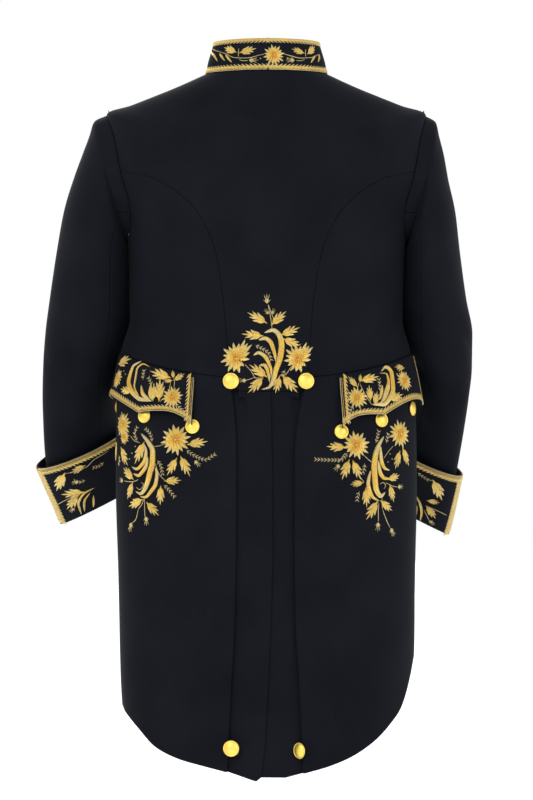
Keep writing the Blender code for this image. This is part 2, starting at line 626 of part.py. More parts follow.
def main():
    for old in list(bpy.data.objects):
        bpy.data.objects.remove(old, do_unlink=True)
    holes = upper_body()
    collar()
    for side, name in ((1, "left"), (-1, "right")):
        sleeve(side, name, holes[side])
        cuff(side, name)
        skirt(side, name)
        tail_strip(side, name)
        flap(side, name)
    buttons()


main()
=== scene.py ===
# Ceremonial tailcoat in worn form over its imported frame: broadcloth shells, gilt buttons, gold thread work.
import bpy
import math
import numpy as np
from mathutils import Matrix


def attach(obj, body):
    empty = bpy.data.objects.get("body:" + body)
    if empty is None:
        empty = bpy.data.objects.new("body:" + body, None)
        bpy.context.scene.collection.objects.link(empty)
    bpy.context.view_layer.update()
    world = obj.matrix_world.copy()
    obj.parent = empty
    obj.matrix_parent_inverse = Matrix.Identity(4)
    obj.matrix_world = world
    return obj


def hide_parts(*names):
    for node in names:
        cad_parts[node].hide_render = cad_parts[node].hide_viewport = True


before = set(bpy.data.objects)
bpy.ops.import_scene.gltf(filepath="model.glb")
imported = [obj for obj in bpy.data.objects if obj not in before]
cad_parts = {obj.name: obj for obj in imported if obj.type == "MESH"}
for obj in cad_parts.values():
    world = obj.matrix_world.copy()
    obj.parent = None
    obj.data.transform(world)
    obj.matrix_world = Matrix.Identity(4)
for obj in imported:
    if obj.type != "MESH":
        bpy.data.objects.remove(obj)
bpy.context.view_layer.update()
print("frame loaded")

scene = bpy.context.scene
mm = 0.001
fine = 4  # visual points for each point of the frame's rings


# camera: seen from behind, a little toward the coat's left side
camera = {"turn": math.radians(1.8), "distance": 7.0, "tall": 1.056, "middle": -0.4277}
lookAlong = np.array([math.sin(camera["turn"]), math.cos(camera["turn"]), 0.0])
camData = bpy.data.cameras.new("camera")
camData.sensor_fit = "VERTICAL"
camData.sensor_height = 24.0
camData.lens = 24.0 * camera["distance"] / camera["tall"]
camObject = bpy.data.objects.new("camera", camData)
scene.collection.objects.link(camObject)
camObject.location = lookAlong * camera["distance"] + [0, 0, camera["middle"]]
camObject.rotation_euler = (math.radians(90), 0, math.radians(180) - camera["turn"])
scene.camera = camObject


# cloth sizes in millimetres
cloth = {
    "wall": 1.8, "stiffWall": 2.6, "seamGap": 0.3, "edgeDrop": 0.85, "stiffDrop": 1.1, "collarDrop": 1.2,
    "shoulder": 3, "waist": 8, "waistGap": 0.009, "backWaist": 8.27,
    "armPoints": 24 * fine, "backJoin": 5 * fine, "sideJoin": 12 * fine,
    "hindSeam": 8 * fine, "frontSeam": 17 * fine,
}


def columnsOf(names, *rows):
    return dict(zip(names.split(), np.array(rows, float).T))


# level rings of the body from the neck seam to the hem
body = columnsOf(
    "side back front half backY frontY power",
    (2, 4, -60, 80, 68, -64, 2.0),
    (-15, -34, -86, 118, 82, -84, 2.0),
    (-38, -72, -114, 176, 94, -104, 2.1),
    (-52, -97, -134, 211, 101, -118, 2.4),
    (-125, -131, -160, 205, 104, -130, 3.0),
    (-212, -212, -212, 184, 101, -137, 2.8),
    (-262, -262, -262, 182, 93, -136, 2.5),
    (-318, -318, -318, 181, 82, -131, 2.35),
    (-366, -399, -392, 191.5, 84, -127, 2.3),
    (-440, -460, -450, 198, 92, -124, 2.3),
    (-540, -545, -540, 199, 102, -120, 2.35),
    (-660, -660, -660, 196, 106, -115, 2.4),
    (-790, -790, -790, 194, 105, -112, 2.4),
    (-935, -935, -935, 184, 101, -105, 2.4),
)
armholeTable = columnsOf(
    "y z",
    (-8.5, -52), (16, -59), (36, -79), (47, -106), (52, -134), (52, -158), (46, -182),
    (32, -202), (8, -215), (-14, -219), (-38, -215), (-60, -203), (-73, -182),
    (-77, -156), (-74, -130), (-66, -102), (-53, -76), (-33, -58), (-8.5, -52),
)
backSeam = columnsOf(
    "x z",
    (180, -131), (157, -136), (135, -146), (114, -161), (97, -178), (84, -198),
    (73.5, -222), (66, -250), (61, -282), (57, -318), (54, -356), (52, -398),
)
skirtFront = ((-62, -374), (-55, -420), (-46, -475), (-35, -540), (-20, -620), (-4, -700), (8, -765))
# the tails, of which each side hangs its own way: the skirt's front edge from the side, its hem, the pleat
# edge, and the strip's outer edge, lower edge and edge at the vent, and the tail button, all from behind
tails = {
    1: {"front": columnsOf("y z", *skirtFront[:-1], (0, -765), (6, -829)),
        "hem": columnsOf(
            "x z", (188.5, -836), (169.5, -857.5), (147, -881), (118, -895), (88, -903.8), (57.4, -912)),
        "pleat": columnsOf(
            "x z", (55, -399), (49, -430), (45, -500), (45.7, -620), (48.2, -727), (52.8, -810),
            (57.4, -912)),
        "reach": 74.0,
        "stripHem": columnsOf("x z", (10.5, -920), (16.6, -924.8), (57.4, -911.5), (74, -906)),
        "vent": columnsOf(
            "x z", (-3, -417), (-4.5, -500), (-4.8, -636), (-1.9, -732), (0.9, -789), (3.8, -847),
            (5.8, -885), (10.5, -922)),
        "button": (49.0, -881.0)},
    -1: {"front": columnsOf("y z", *skirtFront),
         "hem": columnsOf(
             "x z", (190.5, -787), (185.5, -808), (176.5, -832), (160, -852.5), (138, -873.5),
             (108, -893), (78, -905), (47.5, -914)),
         "pleat": columnsOf(
             "x z", (55, -399), (45.2, -430), (36.5, -500), (36, -620), (38, -727), (43, -810), (47.5, -914)),
         "reach": 66.0,
         "stripHem": columnsOf("x z", (-20, -919.6), (23.2, -920.1), (47.5, -913.5), (66, -907)),
         "vent": columnsOf("x z", (-14, -417), (-14, -700), (-20, -922)),
         "button": (46.0, -884.0)},
}
sleeveTable = columnsOf(
    "lOut lOutZ lIn lInZ rOut rOutZ rIn rInZ lMid rMid deep lean skew",
    (227, -60, 187.5, -223, 224, -60, 187.5, -223, -12, -12, 63, 0, 0),
    (234, -80, 185.5, -228, 229, -80, 185.0, -228, -11, -11, 67, 0, 0),
    (243, -104, 184.0, -234, 235, -104, 183.5, -234, -11, -11, 69, 0, 0),
    (255, -137, 184.6, -243, 241, -137, 184.4, -243, -12, -12, 70, 0, 0),
    (267, -177, 184.4, -255, 250, -177, 184.2, -255, -13, -13, 69, 2, 0),
    (277, -232, 181.6, -275, 257, -232, 182.2, -277, -22, -22, 66, 4, 2),
    (286, -292, 179.6, -305, 266, -292, 180.7, -308, -34, -35, 61, 7, 4),
    (292, -338, 180.4, -335, 275, -340, 180.8, -338, -47, -48, 57, 12, 8),
    (295, -380, 189.4, -366, 275, -382, 190.0, -370, -58, -61, 53, 17, 12),
    (296, -422, 193.6, -398, 271, -424, 193.6, -402, -64, -70, 49, 20, 15),
    (295, -462, 194.0, -430, 266, -466, 188.0, -434, -76, -88, 46, 19, 16),
    (293, -500, 192.0, -462, 260, -510, 172.0, -470, -91, -110, 45, 16, 16),
)
cuffTable = columnsOf(
    "lOut lOutZ lIn lInZ rOut rOutZ rIn rInZ lMid rMid deep lean skew",
    (305, -516, 182, -462, 266, -526, 157, -476, -96, -118, 56, 13, 16),
    (294, -542, 173, -486, 261.5, -554, 152, -501, -112, -135, 54, 11, 16),
    (283, -568, 164, -510, 256.5, -582, 147, -526, -128, -152, 52, 8, 16),
    (272.5, -594, 155, -534, 251, -609, 142, -551, -144, -169, 50, 5, 16),
)
collarTable = columnsOf(
    "rise half backY frontY",
    (0, 80, 68, -64), (14, 77.5, 66, -62.5), (28, 73.5, 63, -60), (42.5, 69, 60, -57))


# monotone cubic through values standing at 0, 1, 2 and so on, along the first axis
def smooth(values, at):
    values = np.asarray(values, float)
    step = np.diff(values, axis=0)
    ahead, behind = step[1:], step[:-1]
    same = ahead * behind > 0
    slope = np.zeros_like(values)
    slope[1:-1] = np.where(same, 2 * ahead * behind / np.where(same, ahead + behind, 1), 0)
    slope[0], slope[-1] = step[0], step[-1]
    at = np.clip(np.asarray(at, float), 0, len(values) - 1)
    low = np.minimum(at.astype(int), len(values) - 2)
    t = (at - low).reshape(at.shape + (1,) * (values.ndim - 1))
    ease = t * t * (3 - 2 * t)
    return (values[low] * (1 - ease) + values[low + 1] * ease
            + slope[low] * t * (1 - t) ** 2 - slope[low + 1] * t * t * (1 - t))


def spread(values, count):
    return smooth(values, np.linspace(0, len(values) - 1, count))


def unit(vectors):
    return vectors / np.maximum(np.linalg.norm(vectors, axis=-1, keepdims=True), 1e-9)


def ramp(value, start, end):
    t = np.clip((np.asarray(value, float) - start) / (end - start), 0, 1)
    return t * t * (3 - 2 * t)


# body surface: a superellipse of each level ring in polar form, tilted so that side, back and front have
# their own heights; turn runs from the left side over the back
def bodyPoint(turn, level):
    turn, level = np.broadcast_arrays(np.asarray(turn, float), np.asarray(level, float))
    ring = {name: smooth(column, level) for name, column in body.items()}
    middle = (ring["backY"] + ring["frontY"]) / 2
    deep = (ring["backY"] - ring["frontY"]) / 2
    across, along = np.cos(turn), np.sin(turn)
    power = ring["power"]
    reach = (np.abs(across / ring["half"]) ** power + np.abs(along / deep) ** power) ** (-1 / power)
    end = np.where(along > 0, ring["back"], ring["front"])
    height = ring["side"] + (end - ring["side"]) * (reach * along / deep) ** 2
    return np.stack([reach * across, middle + reach * along, height], -1)


def surfaceNormal(shape, turn, level):
    small = 1e-3
    level = np.clip(level, small, len(body["half"]) - 1 - small)
    return unit(np.cross(shape(turn, level + small) - shape(turn, level - small),
                         shape(turn + small, level) - shape(turn - small, level)))


# soft folds of the worn cloth, in millimetres outwards: slow waves down the skirts and a slack waist
drape = {"skirtWave": 1.5, "waveTurns": (7.0, 13.0), "backWave": 0.5, "waistWave": 0.7}


def foldHeight(turn, level):
    down = ramp(level, 8.6, 12.5)
    first, second = drape["waveTurns"]
    waves = np.sin(first * turn + 0.9 + 0.22 * level) + 0.45 * np.sin(second * turn + 2.1 - 0.3 * level)
    slack = np.sin(9 * turn + 1.3) * np.sin(3.4 * level + 2.5 * turn)
    atWaist = np.exp(-((level - 7.1) / 0.7) ** 2)
    blades = np.sin(5 * turn + 0.4) * ramp(level, 3.6, 5.0) * (1 - ramp(level, 6.0, 7.6))
    return (drape["skirtWave"] * down * waves + drape["waistWave"] * atWaist * slack
            + drape["backWave"] * blades)


def coatPoint(turn, level):
    turn, level = np.broadcast_arrays(np.asarray(turn, float), np.asarray(level, float))
    return bodyPoint(turn, level) + surfaceNormal(bodyPoint, turn, level) * foldHeight(turn, level)[..., None]


def coatNormal(turn, level):
    return surfaceNormal(coatPoint, turn, level)


# turn and level of body points from two of their coordinates, by Newton's method
def locate(first, height, axis, turn):
    turn = np.full(len(height), float(turn))
    level = np.interp(-np.asarray(height), -body["side"], np.arange(len(body["side"])))
    target = np.stack([first, height], -1)
    small = 1e-4
    for _ in range(40):
        here = bodyPoint(turn, level)[:, [axis, 2]]
        byTurn = (bodyPoint(turn + small, level)[:, [axis, 2]] - here) / small
        byLevel = (bodyPoint(turn, level + small)[:, [axis, 2]] - here) / small
        miss = target - here
        scale = byTurn[:, 0] * byLevel[:, 1] - byTurn[:, 1] * byLevel[:, 0]
        turn = turn + np.clip((miss[:, 0] * byLevel[:, 1] - miss[:, 1] * byLevel[:, 0]) / scale, -0.1, 0.1)
        level = level + np.clip((byTurn[:, 0] * miss[:, 1] - byTurn[:, 1] * miss[:, 0]) / scale, -0.3, 0.3)
        level = np.clip(level, 0, len(body["side"]) - 1.001)
    return np.stack([turn, level], -1)


def fromBehind(curve, count=None):
    x, z = (curve[name] if count is None else spread(curve[name], count) for name in ("x", "z"))
    return locate(x, z, 0, 1.1)


def fromSide(curve, count=None):
    y, z = (curve[name] if count is None else spread(curve[name], count) for name in ("y", "z"))
    return locate(y, z, 1, 0.1)


def mirrored(seams):
    return np.stack([np.pi - seams[..., 0], seams[..., 1]], -1)


# a grid of seam places between four edges that meet at the corners: the sides blended across, plus the
# ends blended down, less the four corners blended both ways
def betweenEdges(left, right, top, bottom):
    down = np.linspace(0, 1, len(left))[:, None, None]
    over = np.linspace(0, 1, len(top))[None, :, None]
    sides = left[:, None] * (1 - over) + right[:, None] * over
    ends = top[None] * (1 - down) + bottom[None] * down
    corners = ((left[0] * (1 - over) + right[0] * over) * (1 - down)
               + (left[-1] * (1 - over) + right[-1] * over) * down)
    return sides + ends - corners


# the four edges of a grid move into it, square to each edge, by half the seam gap
def insetEdges(points, normals, gap):
    moved = points.copy()
    every = slice(None)
    for edge, inner in (((0, every), (1, every)), ((-1, every), (-2, every)),
                        ((every, 0), (every, 1)), ((every, -1), (every, -2))):
        aside = unit(np.cross(normals[edge], np.gradient(points[edge], axis=0)))
        facing = np.sign((aside * (points[inner] - points[edge])).sum(-1, keepdims=True))
        moved[edge] = moved[edge] + aside * facing * gap / 2
    return moved


# rows that turn the cloth over at an edge: how far each lies in from it, but no further than a share of the
# grid's own step, and its share of the drop
turnedRows = ((0, 0.2, 1), (0.35, 0.2, 0.35), (1.1, 0.45, 0.04))


def turnedEdges(points, normals, drop, axes=(0, 1)):
    for axis in axes:
        for end in (0, -1):
            p, n = np.moveaxis(points, axis, 0), np.moveaxis(normals, axis, 0)
            near, far = (p[0], p[1]) if end == 0 else (p[-1], p[-2])
            up = n[end]
            length = np.linalg.norm(far - near, axis=-1, keepdims=True)
            rows = [near + (far - near) * np.minimum(inset, length * share) / np.maximum(length, 1e-6)
                    - up * drop * sink for inset, share, sink in turnedRows]
            rows = np.stack(rows)
            if end == 0:
                p, n = np.concatenate([rows, p[1:]]), np.concatenate([np.stack([up] * 3), n[1:]])
            else:
                p, n = np.concatenate([p[:-1], rows[::-1]]), np.concatenate([n[:-1], np.stack([up] * 3)])
            points, normals = np.moveaxis(p, 0, axis), np.moveaxis(n, 0, axis)
    return points, normals


def gridFaces(rows, columns, start, flip):
    index = start + np.arange(rows * columns).reshape(rows, columns)
    quads = np.stack([index[:-1, :-1], index[1:, :-1], index[1:, 1:], index[:-1, 1:]], -1).reshape(-1, 4)
    return quads[:, ::-1] if flip else quads


# points and quads of a closed wall between an outer and an inner grid
def wallMesh(outer, inner):
    rows, columns = outer.shape[:2]
    count = rows * columns
    faces = [gridFaces(rows, columns, 0, False), gridFaces(rows, columns, count, True)]
    index = np.arange(count).reshape(rows, columns)
    for rim in (index[0], index[-1][::-1], index[:, 0][::-1], index[:, -1]):
        faces.append(np.stack([rim[:-1], rim[1:], rim[1:] + count, rim[:-1] + count], -1))
    return np.concatenate([outer.reshape(-1, 3), inner.reshape(-1, 3)]), np.concatenate(faces)


def signedVolume(points, faces):
    a, b, c, d = (points[faces[:, k]] for k in range(4))
    return float((a * np.cross(b, c)).sum() + (a * np.cross(c, d)).sum())


# a mesh object from points in millimetres and faces of four corners, of which the last may repeat
def makePiece(name, points, faces, material, slot, nodes=(), sharp=0.9, tones=None, threads=None):
    three = faces[:, 2] == faces[:, 3]
    if signedVolume(points, faces) < 0:
        faces = np.where(three[:, None], faces[:, [2, 1, 0, 0]], faces[:, ::-1])
    mesh = bpy.data.meshes.new(name)
    sizes = np.where(three, 3, 4)
    keep = np.ones_like(faces, bool)
    keep[three, 3] = False
    loops = faces[keep]
    mesh.vertices.add(len(points))
    mesh.vertices.foreach_set("co", (points * mm).astype(np.float32).ravel())
    mesh.loops.add(len(loops))
    mesh.loops.foreach_set("vertex_index", loops.astype(np.int32))
    mesh.polygons.add(len(sizes))
    mesh.polygons.foreach_set("loop_start", np.concatenate([[0], np.cumsum(sizes)[:-1]]).astype(np.int32))
    mesh.polygons.foreach_set("loop_total", sizes.astype(np.int32))
    if tones is not None:
        mesh.attributes.new("tone", "FLOAT", "POINT").data.foreach_set("value", tones.astype(np.float32))
    if threads is not None:
        mesh.uv_layers.new(name="threads").data.foreach_set("uv", threads[loops].astype(np.float32).ravel())
    mesh.update(calc_edges=True)
    mesh.validate()
    mesh.shade_smooth()
    if sharp:
        mesh.set_sharp_from_angle(angle=sharp)
    mesh.materials.append(material)
    piece = bpy.data.objects.new(name, mesh)
    scene.collection.objects.link(piece)
    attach(piece, "root")
    if nodes:
        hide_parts(*nodes)
    return piece


# shader effects used by several materials
def newGroup(name, inputs, outputs):
    group = bpy.data.node_groups.new(name, "ShaderNodeTree")
    for socket, kind, value in inputs:
        made = group.interface.new_socket(name=socket, in_out="INPUT", socket_type=kind)
        if value is not None:
            made.default_value = value
    for socket, kind in outputs:
        group.interface.new_socket(name=socket, in_out="OUTPUT", socket_type=kind)
    return group, group.nodes.new("NodeGroupInput"), group.nodes.new("NodeGroupOutput")


def mathNode(nodes, links, operation, first, second):
    node = nodes.new("ShaderNodeMath")
    node.operation = operation
    for socket, value in zip(node.inputs, (first, second)):
        if isinstance(value, (int, float)):
            socket.default_value = value
        else:
            links.new(value, socket)
    return node.outputs[0]


# milled wool: short fibres lying down the cloth, over a slow unevenness of the dye
def buildNap():
    group, source, target = newGroup(
        "clothNap", [("Place", "NodeSocketVector", None), ("Fibre", "NodeSocketFloat", 900.0)],
        [("Shade", "NodeSocketFloat"), ("Height", "NodeSocketFloat")])
    nodes, links = group.nodes, group.links
    stretch = nodes.new("ShaderNodeMapping")
    stretch.inputs["Scale"].default_value = (1.0, 1.0, 0.35)
    links.new(source.outputs["Place"], stretch.inputs["Vector"])
    fibre = nodes.new("ShaderNodeTexNoise")
    fibre.inputs["Detail"].default_value = 3.0
    links.new(stretch.outputs[0], fibre.inputs["Vector"])
    links.new(source.outputs["Fibre"], fibre.inputs["Scale"])
    slow = nodes.new("ShaderNodeTexNoise")
    slow.inputs["Scale"].default_value = 14.0
    slow.inputs["Detail"].default_value = 2.0
    links.new(source.outputs["Place"], slow.inputs["Vector"])
    blend = mathNode(nodes, links, "MULTIPLY", slow.outputs["Fac"], 0.55)
    fibres = mathNode(nodes, links, "MULTIPLY", fibre.outputs["Fac"], 0.45)
    shade = mathNode(nodes, links, "ADD", blend, fibres)
    links.new(shade, target.inputs["Shade"])
    links.new(fibre.outputs["Fac"], target.inputs["Height"])
    return group


# gold thread: fine ridges across the piece from its own thread map; the Shade output is painted shade, darker
# in the grooves between the ridges, with a painted glint that changes along the thread
def buildThread():
    group, source, target = newGroup(
        "threadRidges", [("Threads", "NodeSocketVector", None), ("Pitch", "NodeSocketFloat", 1.0)],
        [("Shade", "NodeSocketFloat"), ("Height", "NodeSocketFloat")])
    nodes, links = group.nodes, group.links
    wave = nodes.new("ShaderNodeTexWave")
    wave.wave_type = "BANDS"
    wave.bands_direction = "DIAGONAL"
    wave.inputs["Distortion"].default_value = 0.6
    wave.inputs["Detail"].default_value = 1.0
    links.new(source.outputs["Threads"], wave.inputs["Vector"])
    links.new(source.outputs["Pitch"], wave.inputs["Scale"])
    glint = nodes.new("ShaderNodeTexNoise")
    glint.inputs["Scale"].default_value = 0.6
    glint.inputs["Detail"].default_value = 2.0
    links.new(source.outputs["Threads"], glint.inputs["Vector"])
    # painted shade and glint: the ridge bands darken the colour in the grooves, the slow noise paints
    # brighter and duller glints along the thread
    shade = mathNode(nodes, links, "ADD", mathNode(nodes, links, "MULTIPLY", wave.outputs["Fac"], 0.5),
                     mathNode(nodes, links, "MULTIPLY", glint.outputs["Fac"], 0.5))
    links.new(shade, target.inputs["Shade"])
    links.new(wave.outputs["Fac"], target.inputs["Height"])
    return group


napGroup, threadGroup = buildNap(), buildThread()


def newMaterial(name, roughness, metallic, extra=()):
    material = bpy.data.materials.new(name)
    material.use_nodes = True
    shader = material.node_tree.nodes["Principled BSDF"]
    shader.inputs["Roughness"].default_value = roughness
    shader.inputs["Metallic"].default_value = metallic
    for socket, value in extra:
        shader.inputs[socket].default_value = value
    return material, material.node_tree.nodes, material.node_tree.links, shader


def bumpInto(nodes, links, shader, height, strength, distance):
    bump = nodes.new("ShaderNodeBump")
    bump.inputs["Strength"].default_value = strength
    bump.inputs["Distance"].default_value = distance
    links.new(height, bump.inputs["Height"])
    links.new(bump.outputs["Normal"], shader.inputs["Normal"])


def shadeRamp(nodes, links, value, stops):
    ramps = nodes.new("ShaderNodeValToRGB")
    elements = ramps.color_ramp.elements
    while len(elements) < len(stops):
        elements.new(0.5)
    for element, (at, colour) in zip(elements, stops):
        element.position = at
        element.color = (*colour, 1)
    links.new(value, ramps.inputs["Fac"])
    return ramps.outputs["Color"]


broadcloth = {"dark": (0.0018, 0.0023, 0.0040), "light": (0.0042, 0.0052, 0.0084), "roughness": 0.82,
              "sheen": 0.018, "sheenRoughness": 0.45, "sheenTint": (0.62, 0.68, 0.80, 1), "fibre": 900.0}


def clothMaterial(name, fibre, bump):
    material, nodes, links, shader = newMaterial(name, broadcloth["roughness"], 0.0, (
        ("Sheen Weight", broadcloth["sheen"]), ("Sheen Roughness", broadcloth["sheenRoughness"]),
        ("Sheen Tint", broadcloth["sheenTint"]), ("Specular IOR Level", 0.07)))
    place = nodes.new("ShaderNodeTexCoord")
    nap = nodes.new("ShaderNodeGroup")
    nap.node_tree = napGroup
    nap.inputs["Fibre"].default_value = fibre
    links.new(place.outputs["Object"], nap.inputs["Place"])
    stops = ((0.32, broadcloth["dark"]), (0.68, broadcloth["light"]))
    colour = shadeRamp(nodes, links, nap.outputs["Shade"], stops)
    links.new(colour, shader.inputs["Base Color"])
    bumpInto(nodes, links, shader, nap.outputs["Height"], bump, 0.0004)
    return material


clothStuff = clothMaterial("broadcloth", broadcloth["fibre"], 0.35)
trimStuff = clothMaterial("stiffBroadcloth", 1100.0, 0.25)
tapeStuff = clothMaterial("seamTape", 1400.0, 0.5)

goldThread = {"pale": (0.86, 0.76, 0.44), "yellow": (0.98, 0.72, 0.17), "orange": (0.92, 0.50, 0.09),
              "roughness": 0.40, "metallic": 0.78}


# the tone attribute runs from pale silver gilt through yellow to warm gold
def buildGold():
    material, nodes, links, shader = newMaterial(
        "goldThread", goldThread["roughness"], goldThread["metallic"])
    tone = nodes.new("ShaderNodeAttribute")
    tone.attribute_name = "tone"
    thread = nodes.new("ShaderNodeGroup")
    thread.node_tree = threadGroup
    thread.inputs["Pitch"].default_value = 0.9
    lie = nodes.new("ShaderNodeUVMap")
    lie.uv_map = "threads"
    links.new(lie.outputs["UV"], thread.inputs["Threads"])
    base = shadeRamp(nodes, links, tone.outputs["Fac"], (
        (0.0, goldThread["pale"]), (0.5, goldThread["yellow"]), (1.0, goldThread["orange"])))
    # painted shade: the gold's colour is multiplied darker in the grooves between the thread ridges, leaving
    # painted glints brighter along the thread
    dark = nodes.new("ShaderNodeMix")
    dark.data_type = "RGBA"
    dark.blend_type = "MULTIPLY"
    dark.inputs["Factor"].default_value = 1.0
    links.new(base, dark.inputs[6])
    stops = ((0.25, (0.42, 0.34, 0.26)), (0.68, (1.0, 1.0, 1.0)))
    links.new(shadeRamp(nodes, links, thread.outputs["Shade"], stops), dark.inputs[7])
    links.new(dark.outputs[2], shader.inputs["Base Color"])
    bumpInto(nodes, links, shader, thread.outputs["Height"], 0.8, 0.0004)
    return material


goldStuff = buildGold()

gilt = {"bright": (0.80, 0.60, 0.13), "worn": (0.70, 0.50, 0.10), "roughness": 0.4}


def buildGilt():
    material, nodes, links, shader = newMaterial("giltMetal", gilt["roughness"], 1.0)
    place = nodes.new("ShaderNodeTexCoord")
    cloud = nodes.new("ShaderNodeTexNoise")
    cloud.inputs["Scale"].default_value = 160.0
    cloud.inputs["Detail"].default_value = 4.0
    links.new(place.outputs["Object"], cloud.inputs["Vector"])
    links.new(shadeRamp(nodes, links, cloud.outputs["Fac"], ((0.35, gilt["worn"]), (0.62, gilt["bright"]))),
              shader.inputs["Base Color"])
    dull = nodes.new("ShaderNodeMapRange")
    dull.inputs["To Min"].default_value = 0.56
    dull.inputs["To Max"].default_value = 0.44
    links.new(cloud.outputs["Fac"], dull.inputs["Value"])
    links.new(dull.outputs["Result"], shader.inputs["Roughness"])
    scratches = nodes.new("ShaderNodeTexNoise")
    scratches.inputs["Scale"].default_value = 1500.0
    links.new(place.outputs["Object"], scratches.inputs["Vector"])
    bumpInto(nodes, links, shader, scratches.outputs["Fac"], 0.12, 0.0001)
    return material


giltStuff = buildGilt()
print("materials made")


# body panels. Each keeps its grid as ground for needlework: points, normals
grounds = {}


# a cloth piece from its grid: the outer face with its edges turned over by the drop, the inner face a wall
# thickness below, in stiff cloth where it is trim
def clothPiece(name, points, normals, drop, stiff=False):
    outer, _ = turnedEdges(points, normals, drop)
    flat, up = turnedEdges(points, normals, 0.0)
    wall, stuff, slot = (
        (cloth["stiffWall"], trimStuff, "trim_cloth") if stiff else (cloth["wall"], clothStuff, "coat_cloth"))
    makePiece(name, *wallMesh(outer, flat - up * wall), stuff, slot, (name,))


def panel(name, seams, depth=0.0):
    turn, level = seams[..., 0], seams[..., 1]
    points, normals = coatPoint(turn, level), coatNormal(turn, level)
    points = insetEdges(points, normals, cloth["seamGap"]) - normals * np.asarray(depth)[..., None]
    grounds[name] = {"points": points, "normals": normals}
    clothPiece(name, points, normals, cloth["edgeDrop"])


def armhole(side):
    at = np.linspace(0, len(armholeTable["y"]) - 1, cloth["armPoints"] + 1)
    loop = locate(smooth(armholeTable["y"], at), smooth(armholeTable["z"], at), 1, 0.0)
    loop[0] = loop[-1] = (0, cloth["shoulder"])
    return loop if side > 0 else mirrored(loop)


def bodyPanels():
    waist, joint, sideJoint = cloth["waist"], cloth["backJoin"], cloth["sideJoin"]
    shoulder = np.stack([np.zeros(6 * fine + 1), np.linspace(0, cloth["shoulder"], 6 * fine + 1)], -1)
    hole = armhole(1)
    seam = fromBehind(backSeam, 14 * fine + 1)
    seam[-1, 1] = waist
    edge = np.concatenate([shoulder, hole[1:joint + 1], seam])
    columns = 16 * fine + 1
    over = np.linspace(0, 1, columns)
    top = np.stack([np.linspace(0, np.pi, columns), np.zeros(columns)], -1)
    dip = np.clip(np.minimum(over, 1 - over) / 0.12, 0, 1)
    low = np.linspace(seam[-1, 0], np.pi - seam[-1, 0], columns)
    bottom = np.stack([low, waist + (cloth["backWaist"] - waist) * dip], -1)
    panel("back", betweenEdges(edge, mirrored(edge), top, bottom))

    sideSeam = np.linspace(hole[sideJoint], (-0.01, waist), 7 * fine + 2)
    corner = hole[joint]
    outer = np.concatenate([[corner + (hole[joint + 1] - corner) * 0.4], hole[joint + 1:sideJoint], sideSeam])
    inner = np.concatenate([[corner + (seam[0] - corner) * 0.12], seam])
    ends = [np.linspace(outer[k], inner[k], 6 * fine + 1) for k in (0, -1)]
    sideBody = betweenEdges(outer, inner, *ends)
    frontEdge = np.concatenate([shoulder, hole[:sideJoint:-1][1:], sideSeam])
    level = frontEdge[:, 1]
    centre = np.stack([-np.pi / 2 + 0.004 - 0.14 * np.clip(level / 1.5, 0, 1), level], -1)
    ends = [np.linspace(frontEdge[k], centre[k], 9 * fine + 1) for k in (0, -1)]
    front = betweenEdges(frontEdge, centre, *ends)
    under = np.clip((-front[..., 0] - np.pi / 2 + 0.3) / 0.12, 0, 1) * 2.8
    panel("side_body_left", sideBody)
    panel("side_body_right", mirrored(sideBody))
    panel("front_left", front)
    panel("front_right", mirrored(front), depth=under)
    return {"shoulder": shoulder, "hole": hole, "seam": seam, "side": sideSeam}


seamLines = bodyPanels()
print("body panels made")


# sleeves and cuffs: rings of tilted ellipses, joined by a monotone cubic down the arm
def tubeRing(rows, row, side, count):
    ring = {name: smooth(column, row) for name, column in rows.items()}
    letter = "l" if side > 0 else "r"
    outer = np.array([side * ring[letter + "Out"], 0, ring[letter + "OutZ"]])
    inner = np.array([side * ring[letter + "In"], 0, ring[letter + "InZ"]])
    turn = np.linspace(0, 2 * np.pi, count, endpoint=False)[:, None]
    lean = np.radians(ring["lean"])
    back = ring["deep"] * np.array([0, np.cos(lean), -np.sin(lean)])
    middle = (outer + inner) / 2 + [0, ring[letter + "Mid"], 0]
    return middle + ((outer - inner) / 2 + [0, ring["skew"], 0]) * np.cos(turn) + back * np.sin(turn)


def tubeNormals(grid):
    normals = unit(np.cross(np.roll(grid, -1, 1) - np.roll(grid, 1, 1), np.gradient(grid, axis=0)))
    return normals * np.sign((normals * (grid - grid.mean(1, keepdims=True))).sum())


# creases pressed into the cloth: each is a line between two places with a depth (raised if negative) and
# a width, and the dent falls off as a bell with the distance from the line
def creased(points, normals, creases):
    moved = points.copy()
    for start, end, depth, width in creases:
        start, end = np.array(start, float), np.array(end, float)
        along = end - start
        share = np.clip(((points - start) @ along) / max(along @ along, 1e-6), 0, 1)
        near = np.linalg.norm(points - (start + share[..., None] * along), axis=-1)
        fade = 0.35 + 0.65 * np.sin(np.pi * np.clip(share, 0.02, 0.98))
        moved -= normals * (depth * fade * np.exp(-(near / width) ** 2))[..., None]
    return moved


